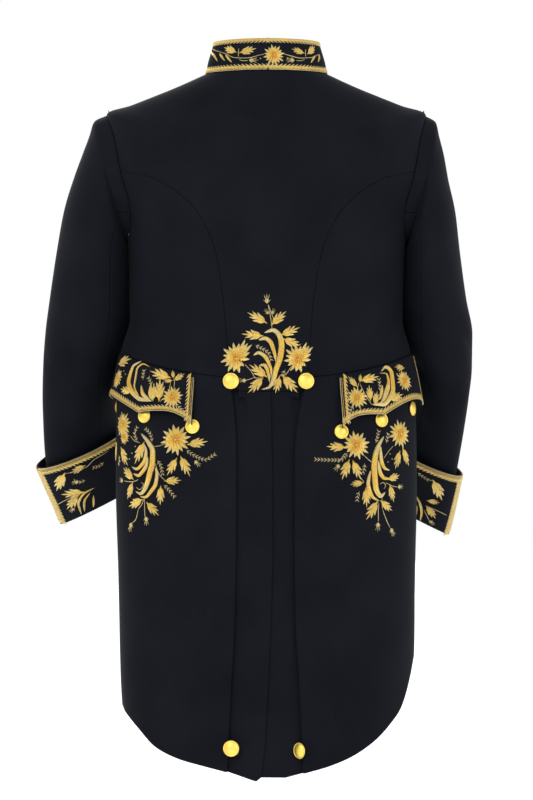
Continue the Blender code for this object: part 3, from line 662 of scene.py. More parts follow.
# creases of each sleeve as places on the tube: share down the arm and turn round it in degrees from the
# outer side over the back, start and end, then depth and width in millimetres
sleeveCreases = {
    1: ((0.10, 178, 0.42, 178, -4.2, 24), (0.0, 176, 0.11, 178, -4.6, 12), (0.0, 160, 0.05, 168, -2.6, 9),
        (0.50, 150, 0.56, 75, 2.6, 9), (0.46, 140, 0.50, 60, -1.8, 10), (0.585, 20, 0.66, 105, 3.2, 8),
        (0.555, 60, 0.63, 150, -2.0, 10), (0.545, 62, 0.56, 80, 2.2, 7), (0.62, 200, 0.60, 300, 3.4, 9),
        (0.57, 210, 0.56, 300, -2.2, 9), (0.53, 200, 0.52, 310, 3.0, 8), (0.66, 215, 0.66, 320, 2.6, 9),
        (0.30, 100, 0.47, 150, 1.6, 16), (0.12, 60, 0.32, 120, 1.2, 18), (0.74, 30, 0.79, 120, 1.6, 10),
        (0.20, 230, 0.30, 170, 1.8, 12), (0.72, 240, 0.74, 320, 2.0, 9), (0.40, 190, 0.44, 260, 2.0, 10)),
    -1: ((0.10, 184, 0.42, 186, -3.8, 24), (0.0, 182, 0.11, 184, -4.2, 12),
         (0.47, 150, 0.53, 70, 2.4, 9), (0.50, 60, 0.55, 25, 2.4, 7), (0.525, 75, 0.575, 35, -1.8, 8),
         (0.60, 140, 0.67, 60, 3.2, 8), (0.64, 40, 0.70, 110, 2.0, 8), (0.57, 130, 0.62, 45, -2.2, 9),
         (0.62, 200, 0.60, 300, 3.4, 9), (0.57, 210, 0.56, 300, -2.2, 9), (0.53, 200, 0.52, 310, 3.0, 8),
         (0.28, 90, 0.44, 145, 1.6, 16), (0.12, 60, 0.30, 115, 1.2, 18), (0.73, 120, 0.80, 50, 1.6, 10),
         (0.20, 230, 0.30, 170, 1.8, 12), (0.72, 240, 0.74, 320, 2.0, 9), (0.40, 190, 0.44, 260, 2.0, 10)),
}


def sleeveGrid(side, hole):
    count = cloth["armPoints"]
    place = coatPoint(hole[:-1, 0], hole[:-1, 1])
    normal = coatNormal(hole[:-1, 0], hole[:-1, 1])
    away = unit(np.cross(normal, np.roll(place, -1, 0) - np.roll(place, 1, 0)))
    away *= np.sign((away * (place.mean(0) - place)).sum())
    rings = [place + away * cloth["seamGap"] / 2]
    rings += [tubeRing(sleeveTable, k, side, count) for k in range(len(sleeveTable["deep"]))]
    outside = np.stack([tubeRing(cuffTable, k, side, count) for k in range(len(cuffTable["deep"]))])
    inward = -tubeNormals(outside)
    for row, loose in ((1, 5.0), (2, 2.5), (3, 0.2)):
        rings.append(outside[row] + inward[row] * (cloth["stiffWall"] + cloth["seamGap"] + loose))
    rings[-1] = rings[-1] + (rings[-2] - rings[-1]) * 0.06
    grid = spread(np.stack(rings), 141)
    normals = tubeNormals(grid)
    rows = len(grid) - 1

    def at(share, degrees):
        return grid[int(share * rows), int(degrees / 360 * count) % count]

    creases = [(at(a, b), at(c, d), depth, width) for a, b, c, d, depth, width in sleeveCreases[side]]
    grid = creased(grid, normals, creases)
    return grid, tubeNormals(grid)


def sleeve(side, name):
    hole = seamLines["hole"] if side > 0 else mirrored(seamLines["hole"])
    grid, normals = sleeveGrid(side, hole)
    count = cloth["armPoints"]
    front, hind = cloth["frontSeam"], cloth["hindSeam"]
    for part, first, last in (("top", front, count + hind), ("under", hind, front)):
        pick = np.arange(first, last + 1) % count
        points, up = grid[:, pick].copy(), normals[:, pick]
        points[:, 0] += unit(points[:, 1] - points[:, 0]) * 0.2
        points[:, -1] += unit(points[:, -2] - points[:, -1]) * 0.2
        clothPiece(f"sleeve_{part}_{name}", points, up, cloth["edgeDrop"])
    return grid, normals


def cuff(side, name):
    count = cloth["armPoints"]
    rows = np.linspace(0, len(cuffTable["deep"]) - 1, 31)
    rings = np.stack([tubeRing(cuffTable, row, side, count) for row in rows])
    normals = tubeNormals(rings)
    pick = np.arange(fine, fine + count + 1) % count
    points, up = rings[:, pick].copy(), normals[:, pick]
    points[:, 0] += unit(points[:, 1] - points[:, 0]) * 0.5
    points[:, -1] += unit(points[:, -2] - points[:, -1]) * 0.5
    grounds[f"cuff_{name}"] = {"points": points, "normals": up}
    clothPiece(f"cuff_{name}", points, up, cloth["stiffDrop"], stiff=True)


armGrids = {}
for side, name in ((1, "left"), (-1, "right")):
    armGrids[name] = sleeve(side, name)
    cuff(side, name)
print("sleeves and cuffs made")


# stand collar: an ellipse for each height above the neck seam, following that seam's dip to the front
def collar():
    turn = np.linspace(-np.pi / 2 + 0.03, 1.5 * np.pi - 0.03, 241)
    neck = bodyPoint(turn, 0.0)[:, 2]
    rings = []
    for row in np.linspace(0, 3, 19):
        rise, half, backY, frontY = (smooth(column, np.array(row)) for column in collarTable.values())
        middle, deep = (backY + frontY) / 2, (backY - frontY) / 2
        reach = 1 / np.hypot(np.cos(turn) / half, np.sin(turn) / deep)
        rings.append(np.stack(
            [reach * np.cos(turn), middle + reach * np.sin(turn), neck + rise + cloth["seamGap"] / 2], -1))
    grid = np.stack(rings)
    normals = unit(np.cross(np.gradient(grid, axis=1), np.gradient(grid, axis=0)))
    normals *= np.sign((normals[:, 0] * [0, -1, 0]).sum())
    grounds["collar"] = {"points": grid, "normals": normals}
    clothPiece("collar", grid, normals, cloth["collarDrop"], stiff=True)


collar()


# tails. A skirt runs from its front edge to the rolled pleat edge, and its cloth turns back under it
pleat = {"radius": 1.7, "return": 26.0, "rise": 1.0, "stripClear": 1.2, "ventStep": 2.8}


def skirt(side, name):
    rows = 15 * fine + 1
    tail = tails[side]
    frontEdge = fromSide(tail["front"], rows)
    frontEdge[0, 1] = cloth["waist"]
    pleatEdge = fromBehind(tail["pleat"], rows)
    pleatEdge[0, 1] = cloth["waist"]
    hem = fromBehind(tail["hem"], 10 * fine + 1)
    hem = np.concatenate([frontEdge[-1:], hem[:-1], pleatEdge[-1:]])
    waist = np.linspace(frontEdge[0], pleatEdge[0], len(hem))
    sheet = betweenEdges(frontEdge, pleatEdge, waist, hem)
    sheet[0, :, 1] += cloth["waistGap"]
    sheet = sheet if side > 0 else mirrored(sheet)
    turn, level = sheet[..., 0], sheet[..., 1]
    points, normals = coatPoint(turn, level), coatNormal(turn, level)
    grounds[f"skirt_{name}"] = {"points": points, "normals": normals}
    wall = cloth["wall"]
    middle = points - normals * wall / 2
    edge, up = middle[:, -1], normals[:, -1]
    toward = unit(np.cross(up, np.gradient(edge, axis=0)))
    toward *= -side * np.sign(toward[:, :1])
    columns, facing = [middle], [normals]
    for bend in np.radians(np.arange(18, 181, 18)):
        roll = edge + toward * pleat["radius"] * np.sin(bend) - up * pleat["radius"] * (1 - np.cos(bend))
        columns.append(roll[:, None])
        facing.append((up * np.cos(bend) + toward * np.sin(bend))[:, None])
    for share in (0.25, 0.5, 0.75, 1.0):
        shifted = {"x": tail["pleat"]["x"] + pleat["return"] * share, "z": tail["pleat"]["z"]}
        under = fromBehind(shifted, rows)
        under = under if side > 0 else mirrored(under)
        x = shifted["x"][-1:]
        z = np.interp(x, tail["hem"]["x"][::-1], tail["hem"]["z"][::-1]) + pleat["rise"]
        low, waist = fromBehind({"x": x, "z": z})[0, 1], cloth["waist"]
        under[:, 1] = waist + (sheet[:, -1, 1] - waist) * (low - waist) / (sheet[-1, -1, 1] - waist)
        underPoints, underNormals = coatPoint(under[:, 0], under[:, 1]), coatNormal(under[:, 0], under[:, 1])
        columns.append((underPoints - underNormals * (wall / 2 + 2 * pleat["radius"]))[:, None])
        facing.append(-underNormals[:, None])
    middle, facing = np.concatenate(columns, 1), np.concatenate(facing, 1)
    node, faces = f"skirt_{name}", wallMesh(middle + facing * wall / 2, middle - facing * wall / 2)
    makePiece(node, *faces, clothStuff, "coat_cloth", (node,))


# the strips' heights at the waist and the vent's lower end, how far the top steps up beside the middle, and
# each slope as the place where it starts or ends with its width, in millimetres
strips = {"top": -416.8, "end": -922.0, "step": 15.0, "stepSlope": (33, 6), "middleSlope": (36, 10),
          "riseSlope": (-462, 36), "ventSlope": (30, 16), "rows": 72, "columns": 33, "edgeDrop": 0.7}


# a centre strip under the pleats: its depth below the skirts' surface falls to nothing between the waist
# buttons, and the right strip steps down under the left one at the vent
def tailStrip(side, name):
    rows, columns = strips["rows"], strips["columns"]
    down = np.linspace(0, 1, rows)[:, None]
    tail = tails[side]
    ventAt = -strips["top"] + (strips["top"] - strips["end"]) * down
    edge = np.interp(ventAt, -tail["vent"]["z"], tail["vent"]["x"])
    x = tail["reach"] + (edge - tail["reach"]) * np.linspace(0, 1, columns)[None, :]
    place, width = strips["stepSlope"]
    top = strips["top"] + strips["step"] * np.clip((np.abs(x) - place) / width, 0, 1)
    height = top + (np.interp(x, *tail["stripHem"].values()) - top) * down
    seams = locate(x.ravel(), height.ravel(), 0, 1.3).reshape(rows, columns, 2)
    seams = seams if side > 0 else mirrored(seams)
    turn, level = seams[..., 0], seams[..., 1]
    points, normals = coatPoint(turn, level), coatNormal(turn, level)
    place, width = strips["middleSlope"]
    low, tall = strips["riseSlope"]
    rise = np.clip((place - np.abs(x)) / width, 0, 1) * np.clip((height - low) / tall, 0, 1)
    rise = rise * rise * (3 - 2 * rise)
    depth = (cloth["wall"] + 2 * pleat["radius"] + pleat["stripClear"]) * (1 - rise)
    if side < 0:
        place, width = strips["ventSlope"]
        depth = depth + pleat["ventStep"] * np.clip((place - x) / width, 0, 1)
    points = points - normals * depth[..., None]
    grounds[f"tail_strip_{name}"] = {"points": points, "normals": normals}
    clothPiece(f"tail_strip_{name}", points, normals, strips["edgeDrop"])


# pocket flaps: three points, scalloped between, lifting off the skirt over their buttons
flaps = {"top": 1.5, "lift": 6.6}
flapSides = {
    1: {"reach": (96.0, -50.0), "crowd": 1.25, "drops": (68, 66.5, 61), "scallops": (10.5, 6.0), "curve": 1.7,
        "buttons": {"rear": (0.005, 68.5, 0.0), "middle": (0.475, 68.5, 0.0), "fore": (0.97, 70.0, 0.85)}},
    -1: {"reach": (92.0, -20.0), "crowd": 1.3, "drops": (70.5, 65, 70), "scallops": (8.0, 10.0), "curve": 1.7,
         "buttons": {"rear": (0.005, 73.5, 0.0), "middle": (0.49, 70.0, 0.0), "fore": (0.82, 70.0, 0.0)}},
}


def flapSeams(side, along, drop):
    flap = flapSides[side]
    rear = fromBehind({"x": np.array([flap["reach"][0]]), "z": np.array([-391.0])})[0, 0]
    front = fromSide({"y": np.array([flap["reach"][1]]), "z": np.array([-372.0])})[0, 0]
    turn = rear + (front - rear) * np.asarray(along) ** flap["crowd"]
    waist = float(cloth["waist"])
    spacing = bodyPoint(turn, waist)[..., 2] - bodyPoint(turn, waist + 1.0)[..., 2]
    return np.stack([turn, waist + np.asarray(drop) / spacing], -1)


def flapGrid(side, along, share):
    point = np.interp(along, (0, 0.5, 1), flapSides[side]["drops"])
    height = np.where(along < 0.5, *flapSides[side]["scallops"])
    scallop = height * (1 - np.abs(2 * ((2 * along) % 1.0) - 1) ** flapSides[side]["curve"])
    scallop = np.where(along >= 1, 0, scallop)
    drop = flaps["top"] + (point - scallop - flaps["top"]) * share
    seams = flapSeams(side, along, drop)
    seams = seams if side > 0 else mirrored(seams)
    points, normals = coatPoint(seams[..., 0], seams[..., 1]), coatNormal(seams[..., 0], seams[..., 1])
    lift = cloth["seamGap"] + flaps["lift"] * share ** 1.2 + cloth["stiffWall"]
    return points + normals * lift[..., None], normals


def flap(side, name):
    along, share = np.meshgrid(np.linspace(0, 1, 97), np.linspace(0, 1, 41))
    points, normals = flapGrid(side, along, share)
    grounds[f"flap_{name}"] = {"points": points, "normals": normals}
    clothPiece(f"flap_{name}", points, normals, cloth["stiffDrop"], stiff=True)


for side, name in ((1, "left"), (-1, "right")):
    skirt(side, name)
    tailStrip(side, name)
    flap(side, name)
print("collar, tails and flaps made")


# seam tapes behind the seams: a strip 0.8 mm thick along a line of points, sunk below the cloth
def tape(name, points, normals, half=7.0, depth=2.15):
    along = unit(np.gradient(points, axis=0))
    aside = unit(np.cross(normals, along))
    across = np.linspace(-half, half, 5)
    outer = points[:, None] + aside[:, None] * across[None, :, None] - normals[:, None] * depth
    normalGrid = np.repeat(normals[:, None], 5, 1)
    return makePiece(name, *wallMesh(outer, outer - normalGrid * 0.8), tapeStuff, "coat_cloth")


def bodyTape(name, seams, **sizes):
    return tape(name, coatPoint(seams[:, 0], seams[:, 1]), coatNormal(seams[:, 0], seams[:, 1]), **sizes)


tapes = {}
for side, name in ((1, "left"), (-1, "right")):
    place = (lambda seams: seams) if side > 0 else mirrored
    trim = slice(3, -2)
    tapes[f"back_seam_tape_{name}"] = bodyTape(f"back_seam_tape_{name}", place(seamLines["seam"])[trim])
    tapes[f"side_seam_tape_{name}"] = bodyTape(f"side_seam_tape_{name}", place(seamLines["side"])[trim])
    tapes[f"shoulder_tape_{name}"] = bodyTape(f"shoulder_tape_{name}", place(seamLines["shoulder"])[2:-3])
    hole = place(seamLines["hole"])
    tapes[f"armhole_tape_{name}"] = bodyTape(f"armhole_tape_{name}", hole, half=7.0, depth=2.4)
    line = np.stack([np.linspace(-0.75, 1.28, 61), np.full(61, cloth["waist"] + 0.02)], -1)
    tapes[f"waist_tape_{name}"] = bodyTape(f"waist_tape_{name}", place(line), half=6.0)
    grid, normals = armGrids[name]
    for part, column in (("hind", cloth["hindSeam"]), ("front", cloth["frontSeam"])):
        tapes[f"{part}_arm_tape_{name}"] = tape(
            f"{part}_arm_tape_{name}", grid[4:-3, column], normals[4:-3, column], half=5.0, depth=2.2)
neckLine = np.stack([np.linspace(-np.pi / 2 + 0.05, 1.5 * np.pi - 0.05, 181), np.full(181, 0.06)], -1)
tapes["neck_tape"] = bodyTape("neck_tape", neckLine, half=6.0, depth=2.9)
waistLine = np.stack([np.linspace(1.21, np.pi - 1.21, 45), np.full(45, 8.33)], -1)
tapes["centre_waist_tape"] = bodyTape("centre_waist_tape", waistLine, half=5.0, depth=2.3)
print("seam tapes made")


# gilt buttons: a domed front inside a low rim, turned about the button's axis. The profile gives shares of
# the radius and heights in millimetres
buttonShape = {
    "large": 10.6, "small": 9.4, "sides": 48, "waist": (49.0, -403.0),
    "turned": (0.87, 1.7, 5.5), "front": (0.75, 7.7, 9),
    "profile": ((0.70, 0.0), (0.94, 0.45), (1.0, 1.1), (1.0, 1.7), (0.975, 2.05), (0.93, 2.15), (0.885, 2.0),
                (0.86, 1.85), (0.83, 2.1), (0.72, 2.95), (0.58, 3.75), (0.42, 4.4), (0.26, 4.8),
                (0.12, 4.97)),
}


# walls between rings of points, and fans that close the first and the last ring with a point each
def ringFaces(sides, levels, start, end):
    here = np.arange(sides)
    after = (here + 1) % sides
    level, last = np.arange(levels - 1)[:, None] * sides, (levels - 1) * sides
    walls = np.stack([here + level, after + level, after + level + sides, here + level + sides], -1)
    first = np.stack([after, here, np.full(sides, start), np.full(sides, start)], -1)
    return walls.reshape(-1, 4), first, np.stack(
        [here + last, after + last, np.full(sides, end), np.full(sides, end)], -1)


def button(name, seat, axis, radius):
    axis = unit(np.asarray(axis, float))
    aside = unit(np.cross(axis, [0.0, 0.0, 1.0]))
    other = np.cross(axis, aside)
    sides = buttonShape["sides"]
    wide, high = np.array(buttonShape["profile"]).T
    turn = np.linspace(0, 2 * np.pi, sides, endpoint=False)
    round_ = aside * np.cos(turn)[:, None] + other * np.sin(turn)[:, None]
    rings = seat + radius * wide[:, None, None] * round_[None] + high[:, None, None] * axis
    points = np.concatenate([rings.reshape(-1, 3), [seat + axis * 5.0], [np.asarray(seat, float)]])
    crown, bottom = len(points) - 2, len(points) - 1
    walls, base, cap = ringFaces(sides, len(wide), bottom, crown)
    faces = np.concatenate([walls, cap, base])
    makePiece(name, points, faces, giltStuff, "gilt_button", (name,), sharp=0.7)


def coatSeat(seams):
    return coatPoint(*seams.T)[0], coatNormal(*seams.T)[0]


for side, name in ((1, "left"), (-1, "right")):
    place = (lambda seams: seams) if side > 0 else mirrored
    for kind in ("waist", "tail"):
        x, z = buttonShape["waist"] if kind == "waist" else tails[side]["button"]
        seat, axis = coatSeat(place(fromBehind({"x": np.array([x]), "z": np.array([z])})))
        if kind == "tail" and side < 0:
            turn, lift, shift = buttonShape["turned"]
            outward = np.array([1.0, 0.0, 0.0])
            seat = seat + axis * (lift - cloth["seamGap"]) + outward * shift
            axis = axis * np.cos(turn) + outward * np.sin(turn)
        else:
            seat = seat + axis * cloth["seamGap"]
        button(f"{kind}_button_{name}", seat, axis, buttonShape["large"])
    for kind, (along, drop, sink) in flapSides[side]["buttons"].items():
        seams = place(flapSeams(side, np.array([along]), np.array([drop])))
        seat, axis = coatSeat(seams)
        seat = seat + axis * (cloth["seamGap"] - sink)
        button(f"flap_button_{kind}_{name}", seat, axis, buttonShape["small"])
first, last, count = buttonShape["front"]
for index, level in enumerate(np.linspace(first, last, count)):
    seat, axis = coatSeat(np.array([[-np.pi / 2 - 0.02, level]]))
    button(f"front_button_{index + 1}", seat + axis * cloth["seamGap"], axis, buttonShape["small"])
print("buttons made")


# needlework. A place on the cloth is a row and a column of a panel's grid, between its points as well; the
# drawing gives places in columns and rows of 1.32 mm as the camera sees them
drawing = {"pitch": 1.32, "column": 266.5, "row": 400.0}
stitches = {}


# values of a grid at places, blended between the four points round each, and carried on past the edges
def gridAt(values, spots):
    low = np.clip(np.floor(spots), 0, np.array(values.shape[:2]) - 2).astype(int)
    down, over = (spots[..., k, None] - low[..., k, None] for k in (0, 1))
    i, j = low[..., 0], low[..., 1]
    return ((values[i, j] * (1 - down) + values[i + 1, j] * down) * (1 - over)
            + (values[i, j + 1] * (1 - down) + values[i + 1, j + 1] * down) * over)


# places moved over the cloth by millimetres to the right and up, by the inverse of the grid's two steps
def stepOver(ground, spots, offset, parts=2):
    spots, offset = np.broadcast_arrays(np.asarray(spots, float), np.asarray(offset, float))
    for _ in range(parts):
        normal = unit(gridAt(ground["normals"], spots))
        right = unit(np.cross([0.0, 0.0, 1.0], normal))
        up = np.cross(normal, right)
        down, over = (gridAt(ground["points"], spots + half) - gridAt(ground["points"], spots - half)
                      for half in (np.array([0.5, 0]), np.array([0, 0.5])))
        a, b, c, d = ((p * q).sum(-1) for p, q in ((right, down), (right, over), (up, down), (up, over)))
        x, y = offset[..., 0] / parts, offset[..., 1] / parts
        spots = spots + np.stack([d * x - b * y, a * y - c * x], -1) / (a * d - b * c)[..., None]
    return spots


# drawing places of points, through the camera
def seen(points):
    ahead = lookAlong[1], lookAlong[0]
    aside = points[..., 0] * ahead[0] - points[..., 1] * ahead[1]
    near = points[..., 0] * ahead[1] + points[..., 1] * ahead[0]
    distance, middle = camera["distance"] / mm, camera["middle"] / mm
    grow = distance / (distance - near) / drawing["pitch"]
    return np.stack([drawing["column"] - aside * grow, drawing["row"] - (points[..., 2] - middle) * grow], -1)


# places of a panel under drawing places: the nearest grid point that faces the camera, then Newton's method
def seenAt(ground, places):
    places = np.atleast_2d(np.asarray(places, float))
    view = seen(ground["points"])
    hidden = (ground["normals"] @ lookAlong) < 0.02
    away = np.linalg.norm(view[None] - places[:, None, None], axis=-1) + hidden[None] * 1e4
    nearest = away.reshape(len(places), -1).argmin(-1)
    spots = np.stack(np.unravel_index(nearest, hidden.shape), -1).astype(float)
    for _ in range(6):
        here = seen(gridAt(ground["points"], spots))
        down, over = (
            seen(gridAt(ground["points"], spots + half)) - seen(gridAt(ground["points"], spots - half))
            for half in (np.array([0.5, 0]), np.array([0, 0.5])))
        miss = places - here
        scale = down[:, 0] * over[:, 1] - down[:, 1] * over[:, 0]
        scale = np.where(np.abs(scale) < 1e-3, 1e-3, scale)
        move = np.stack([miss[:, 0] * over[:, 1] - miss[:, 1] * over[:, 0],
                         down[:, 0] * miss[:, 1] - down[:, 1] * miss[:, 0]], -1) / scale[:, None]
        spots = spots + np.clip(move, -1.5, 1.5)
    return spots


# cross sections of raised gold, right to left over the top: shares of the half width and of the height
sections = {
    "dome": np.array([(1, 0), (0.62, 0.68), (0, 1), (-0.62, 0.68), (-1, 0), (0, -0.1)]),
    "twin": np.array([(1, 0), (0.8, 0.72), (0.42, 1), (0.04, 0.6), (-0.36, 0.92), (-0.76, 0.66), (-1, 0),
                      (0, -0.1)]),
}


threadShift = 7.3  # along the thread map from one body to the next


# raised bodies along paths over the cloth: a section stands across the path at every place of it, and both
# ends close in a point. Sunk is how far the foot goes into the cloth
def raised(carrier, paths, half, rise, tone, lift=0.0, section="dome", sunk=0.25):
    ground, shape = grounds[carrier], sections[section]
    paths = np.asarray(paths, float)
    count, length = paths.shape[:2]
    half, rise, lift, tone = (
        np.broadcast_to(np.asarray(v, float), (count, length)) for v in (half, rise, lift, tone))
    points = gridAt(ground["points"], paths)
    normals = unit(gridAt(ground["normals"], paths))
    along = unit(np.gradient(points, axis=1))
    aside = unit(np.cross(normals, along))
    foot = (lift - sunk)[..., None]
    height = foot[:, 1:-1] + (rise + sunk)[:, 1:-1, None] * shape[:, 1]
    rings = (points[:, 1:-1, None] + aside[:, 1:-1, None] * (half[:, 1:-1, None] * shape[:, 0])[..., None]
             + normals[:, 1:-1, None] * height[..., None])
    tips = points[:, [0, -1]] + normals[:, [0, -1]] * (lift[:, [0, -1]])[..., None]
    vertices = np.concatenate([rings.reshape(count, -1, 3), tips], 1)
    sides, levels = len(shape), length - 2
    faces = np.concatenate(ringFaces(sides, levels, levels * sides, levels * sides + 1))
    faces = faces[None] + (np.arange(count) * vertices.shape[1])[:, None, None]
    steps = np.linalg.norm(np.diff(points, axis=1), axis=-1)
    reach = np.concatenate([np.zeros((count, 1)), steps.cumsum(1)], 1)
    u = (half[:, 1:-1, None] * np.abs(shape[:, 0])).reshape(count, -1)
    v = np.repeat(reach[:, 1:-1], sides, 1)
    threads = np.stack([np.concatenate([u, np.zeros((count, 2))], 1),
                        np.concatenate([v, reach[:, [0, -1]]], 1)], -1)
    threads = threads + [0, threadShift] * np.arange(count)[:, None, None]
    tones = np.concatenate([np.repeat(tone[:, 1:-1], sides, 1), tone[:, [0, -1]]], 1)
    stitches.setdefault(carrier, []).append(
        (vertices.reshape(-1, 3), faces.reshape(-1, 4), tones.ravel(), threads.reshape(-1, 2)))


# pointed lobes: straight paths between two places, widest a little before the middle, bent aside by a bulge
lobeShape = {"at": np.array([0, 0.1, 0.34, 0.62, 0.86, 1.0]), "wide": np.array([0, 0.55, 1.0, 0.86, 0.42, 0]),
             "high": np.array([0, 0.6, 1.0, 0.9, 0.55, 0])}


def lobes(carrier, start, end, half, rise, tone, lift=0.0, sunk=0.25, fade=0.0):
    start, end = np.asarray(start, float), np.asarray(end, float)
    at = lobeShape["at"][None, :, None]
    paths = start[:, None] * (1 - at) + end[:, None] * at
    half, rise, tone, lift = (
        np.broadcast_to(np.asarray(v, float), (len(start),))[:, None] for v in (half, rise, tone, lift))
    tone = np.clip(tone + fade * (lobeShape["at"] - 0.4), 0, 1)
    raised(carrier, paths, half * lobeShape["wide"], rise * lobeShape["high"], tone, lift, sunk=sunk)


# lobes given in a motif's own plane: columns of start, end (along, aside), half width, rise and lift; the
# plane is turned to an angle from the right, enlarged, and laid on the cloth at a place
def motif(carrier, spots, angle, size, table, tone, squash=1.0, fade=0.0):
    ground = grounds[carrier]
    spots = np.atleast_2d(spots)
    angle, size = (np.broadcast_to(np.asarray(v, float), (len(spots),)) for v in (angle, size))
    table = np.asarray(table, float)
    turn = np.stack([np.cos(angle), np.sin(angle)], -1)
    side = np.stack([-turn[:, 1], turn[:, 0]], -1)
    ends = []
    for along, aside in ((table[:, 0], table[:, 1]), (table[:, 2], table[:, 3])):
        offset = along[None, :, None] * turn[:, None] + aside[None, :, None] * side[:, None]
        offset = offset * size[:, None, None] * [squash, 1.0]
        ends.append(stepOver(ground, spots[:, None] + 0 * offset, offset).reshape(-1, 2))
    scale = np.repeat(size, len(table))
    rows = np.tile(table, (len(spots), 1))
    tone = np.broadcast_to(np.asarray(tone, float), (len(table),))
    lobes(carrier, *ends, rows[:, 4] * scale, rows[:, 5], np.tile(tone, len(spots)), rows[:, 6], fade=fade)


# a leaf: a midrib to the tip and three pairs of forward lobes
leafRows = [(-0.1, 0, 1.04, 0, 0.085, 1.25, 0.1)]
for start, end, reach, half in (
        (0.08, 0.40, 0.20, 0.075), (0.22, 0.62, 0.25, 0.085), (0.42, 0.84, 0.17, 0.07)):
    leafRows += [(start, way * 0.02, end, way * reach, half, 1.0, 0.0) for way in (1, -1)]


# angle and length, in the cloth's own plane, from one place to another
def reachOf(carrier, start, end):
    ground = grounds[carrier]
    there = gridAt(ground["points"], end) - gridAt(ground["points"], start)
    normal = unit(gridAt(ground["normals"], start))
    right = unit(np.cross([0.0, 0.0, 1.0], normal))
    x, y = (there * right).sum(-1), (there * np.cross(normal, right)).sum(-1)
    return np.arctan2(y, x), np.linalg.norm(there, axis=-1)


def leaves(carrier, pairs, tone=0.42, narrow=1.0):
    ground = grounds[carrier]
    pairs = np.asarray(pairs, float)
    start, end = seenAt(ground, pairs[:, :2]), seenAt(ground, pairs[:, 2:])
    angle, length = reachOf(carrier, start, end)
    rows = np.array(leafRows) * [1, narrow, 1, narrow, narrow, 1, 1]
    tones = tone + np.array([0.1, 0, 0, -0.05, -0.05, -0.12, -0.12])
    motif(carrier, start, angle, length, rows, tones, fade=-0.25)


# a flower: rings of pointed petals, each ring higher and shorter, round a knot of beads
def petals(count, first, reach, half, rise, lift, shift=0.0, short=1.0):
    turn = (np.arange(count) + shift) * 2 * np.pi / count
    far = np.where(np.arange(count) % 2, short, 1.0) * reach
    return np.stack([first * np.cos(turn), first * np.sin(turn), far * np.cos(turn), far * np.sin(turn),
                     np.full(count, half), np.full(count, rise), np.full(count, lift)], -1)


flowerRows = np.concatenate([
    petals(16, 0.22, 1.06, 0.145, 0.9, 0.0, short=0.86),
    petals(12, 0.16, 0.78, 0.125, 0.9, 0.5, shift=0.5, short=0.9),
    petals(10, 0.10, 0.48, 0.085, 0.8, 1.0), petals(7, 0.06, 0.27, 0.06, 0.8, 1.45),
    [(-0.11, 0, 0.11, 0, 0.1, 1.1, 1.6)]])
flowerTones = np.repeat([0.42, 0.62, 0.85, 1.0, 0.6], (16, 12, 10, 7, 1))


def flower(carrier, place, radius, squash=1.0, turn=0.2, tone=0.0):
    spot = seenAt(grounds[carrier], place)
    motif(carrier, spot, turn, radius, flowerRows, np.clip(flowerTones + tone, 0, 1), squash, fade=-0.6)


# a path through drawn places, evenly close
def drawnPath(carrier, places, count):
    spots = seenAt(grounds[carrier], places)
    return spread(spots, count)


def stem(carrier, places, half=0.55, rise=0.7, tone=0.1):
    path = drawnPath(carrier, places, 6 * len(places) + 6)
    taper = np.sin(np.pi * np.linspace(0.12, 0.9, len(path))) ** 0.4
    raised(carrier, path[None], half * taper, rise * taper, tone)


# a frond: a long crescent of two ridges, pointed at both ends
def frond(carrier, places, half, tone=0.45, rise=1.5):
    path = drawnPath(carrier, places, 44)
    share = np.linspace(0, 1, 44)
    taper = np.sin(np.pi * share ** 0.8) ** 0.7
    tones = np.clip(tone + 0.22 * np.sin(9 * share + half) - 0.45 * np.abs(2 * share - 1) ** 3, 0, 1)
    raised(carrier, path[None], (0.35 + 1.12 * half) * taper, 0.2 + rise * taper, tones, section="twin")


# a sprig: a thin stem with paired leaflets
sprigRows = [(0, 0, 0.78, way * 0.62, 0.14, 0.6, 0.0) for way in (1, -1)]


def sprig(carrier, places, pitch=4.4, leaflet=4.6, tone=0.05):
    stem(carrier, places, half=0.32, rise=0.45, tone=tone)
    path = drawnPath(carrier, places, 60)
    points = gridAt(grounds[carrier]["points"], path)
    reach = np.concatenate([[0], np.linalg.norm(np.diff(points, axis=0), axis=-1).cumsum()])
    at = np.interp(np.arange(pitch * 0.6, reach[-1], pitch), reach, np.arange(60))
    low = np.minimum(at.astype(int), 57)
    start, ahead = path[low], path[low + 2]
    angle, _ = reachOf(carrier, start, ahead)
    motif(carrier, start, angle, leaflet, sprigRows, tone)


# a bud: an oval cup with a fan of spikes
budRows = ([(0, way * 0.03, 0.62, way * 0.16, 0.10, 1.1, 0.0) for way in (1, -1)]
           + [(0.05, 0, 0.6, 0, 0.12, 1.3, 0.0)]
           + [(0.45, way * 0.1, 0.98, way * 0.30, 0.045, 0.7, 0.1) for way in (1, -1)]
           + [(0.4, 0, 1.12, 0, 0.05, 0.8, 0.1)]
           + [(0.02, 0, 0.44, way * 0.40, 0.045, 0.6, 0.0) for way in (1, -1)])


def bud(carrier, place, degrees, size=9.0, tone=0.12):
    spot = seenAt(grounds[carrier], place)
    motif(carrier, spot, math.radians(degrees), size * 1.35, budRows, tone, fade=-0.2)


def berries(carrier, places, radius=1.0, tone=0.3):
    ground = grounds[carrier]
    spots = seenAt(ground, places)
    start, end = stepOver(ground, spots, (-radius, 0)), stepOver(ground, spots, (radius, 0))
    lobes(carrier, start, end, radius, 1.2, tone)


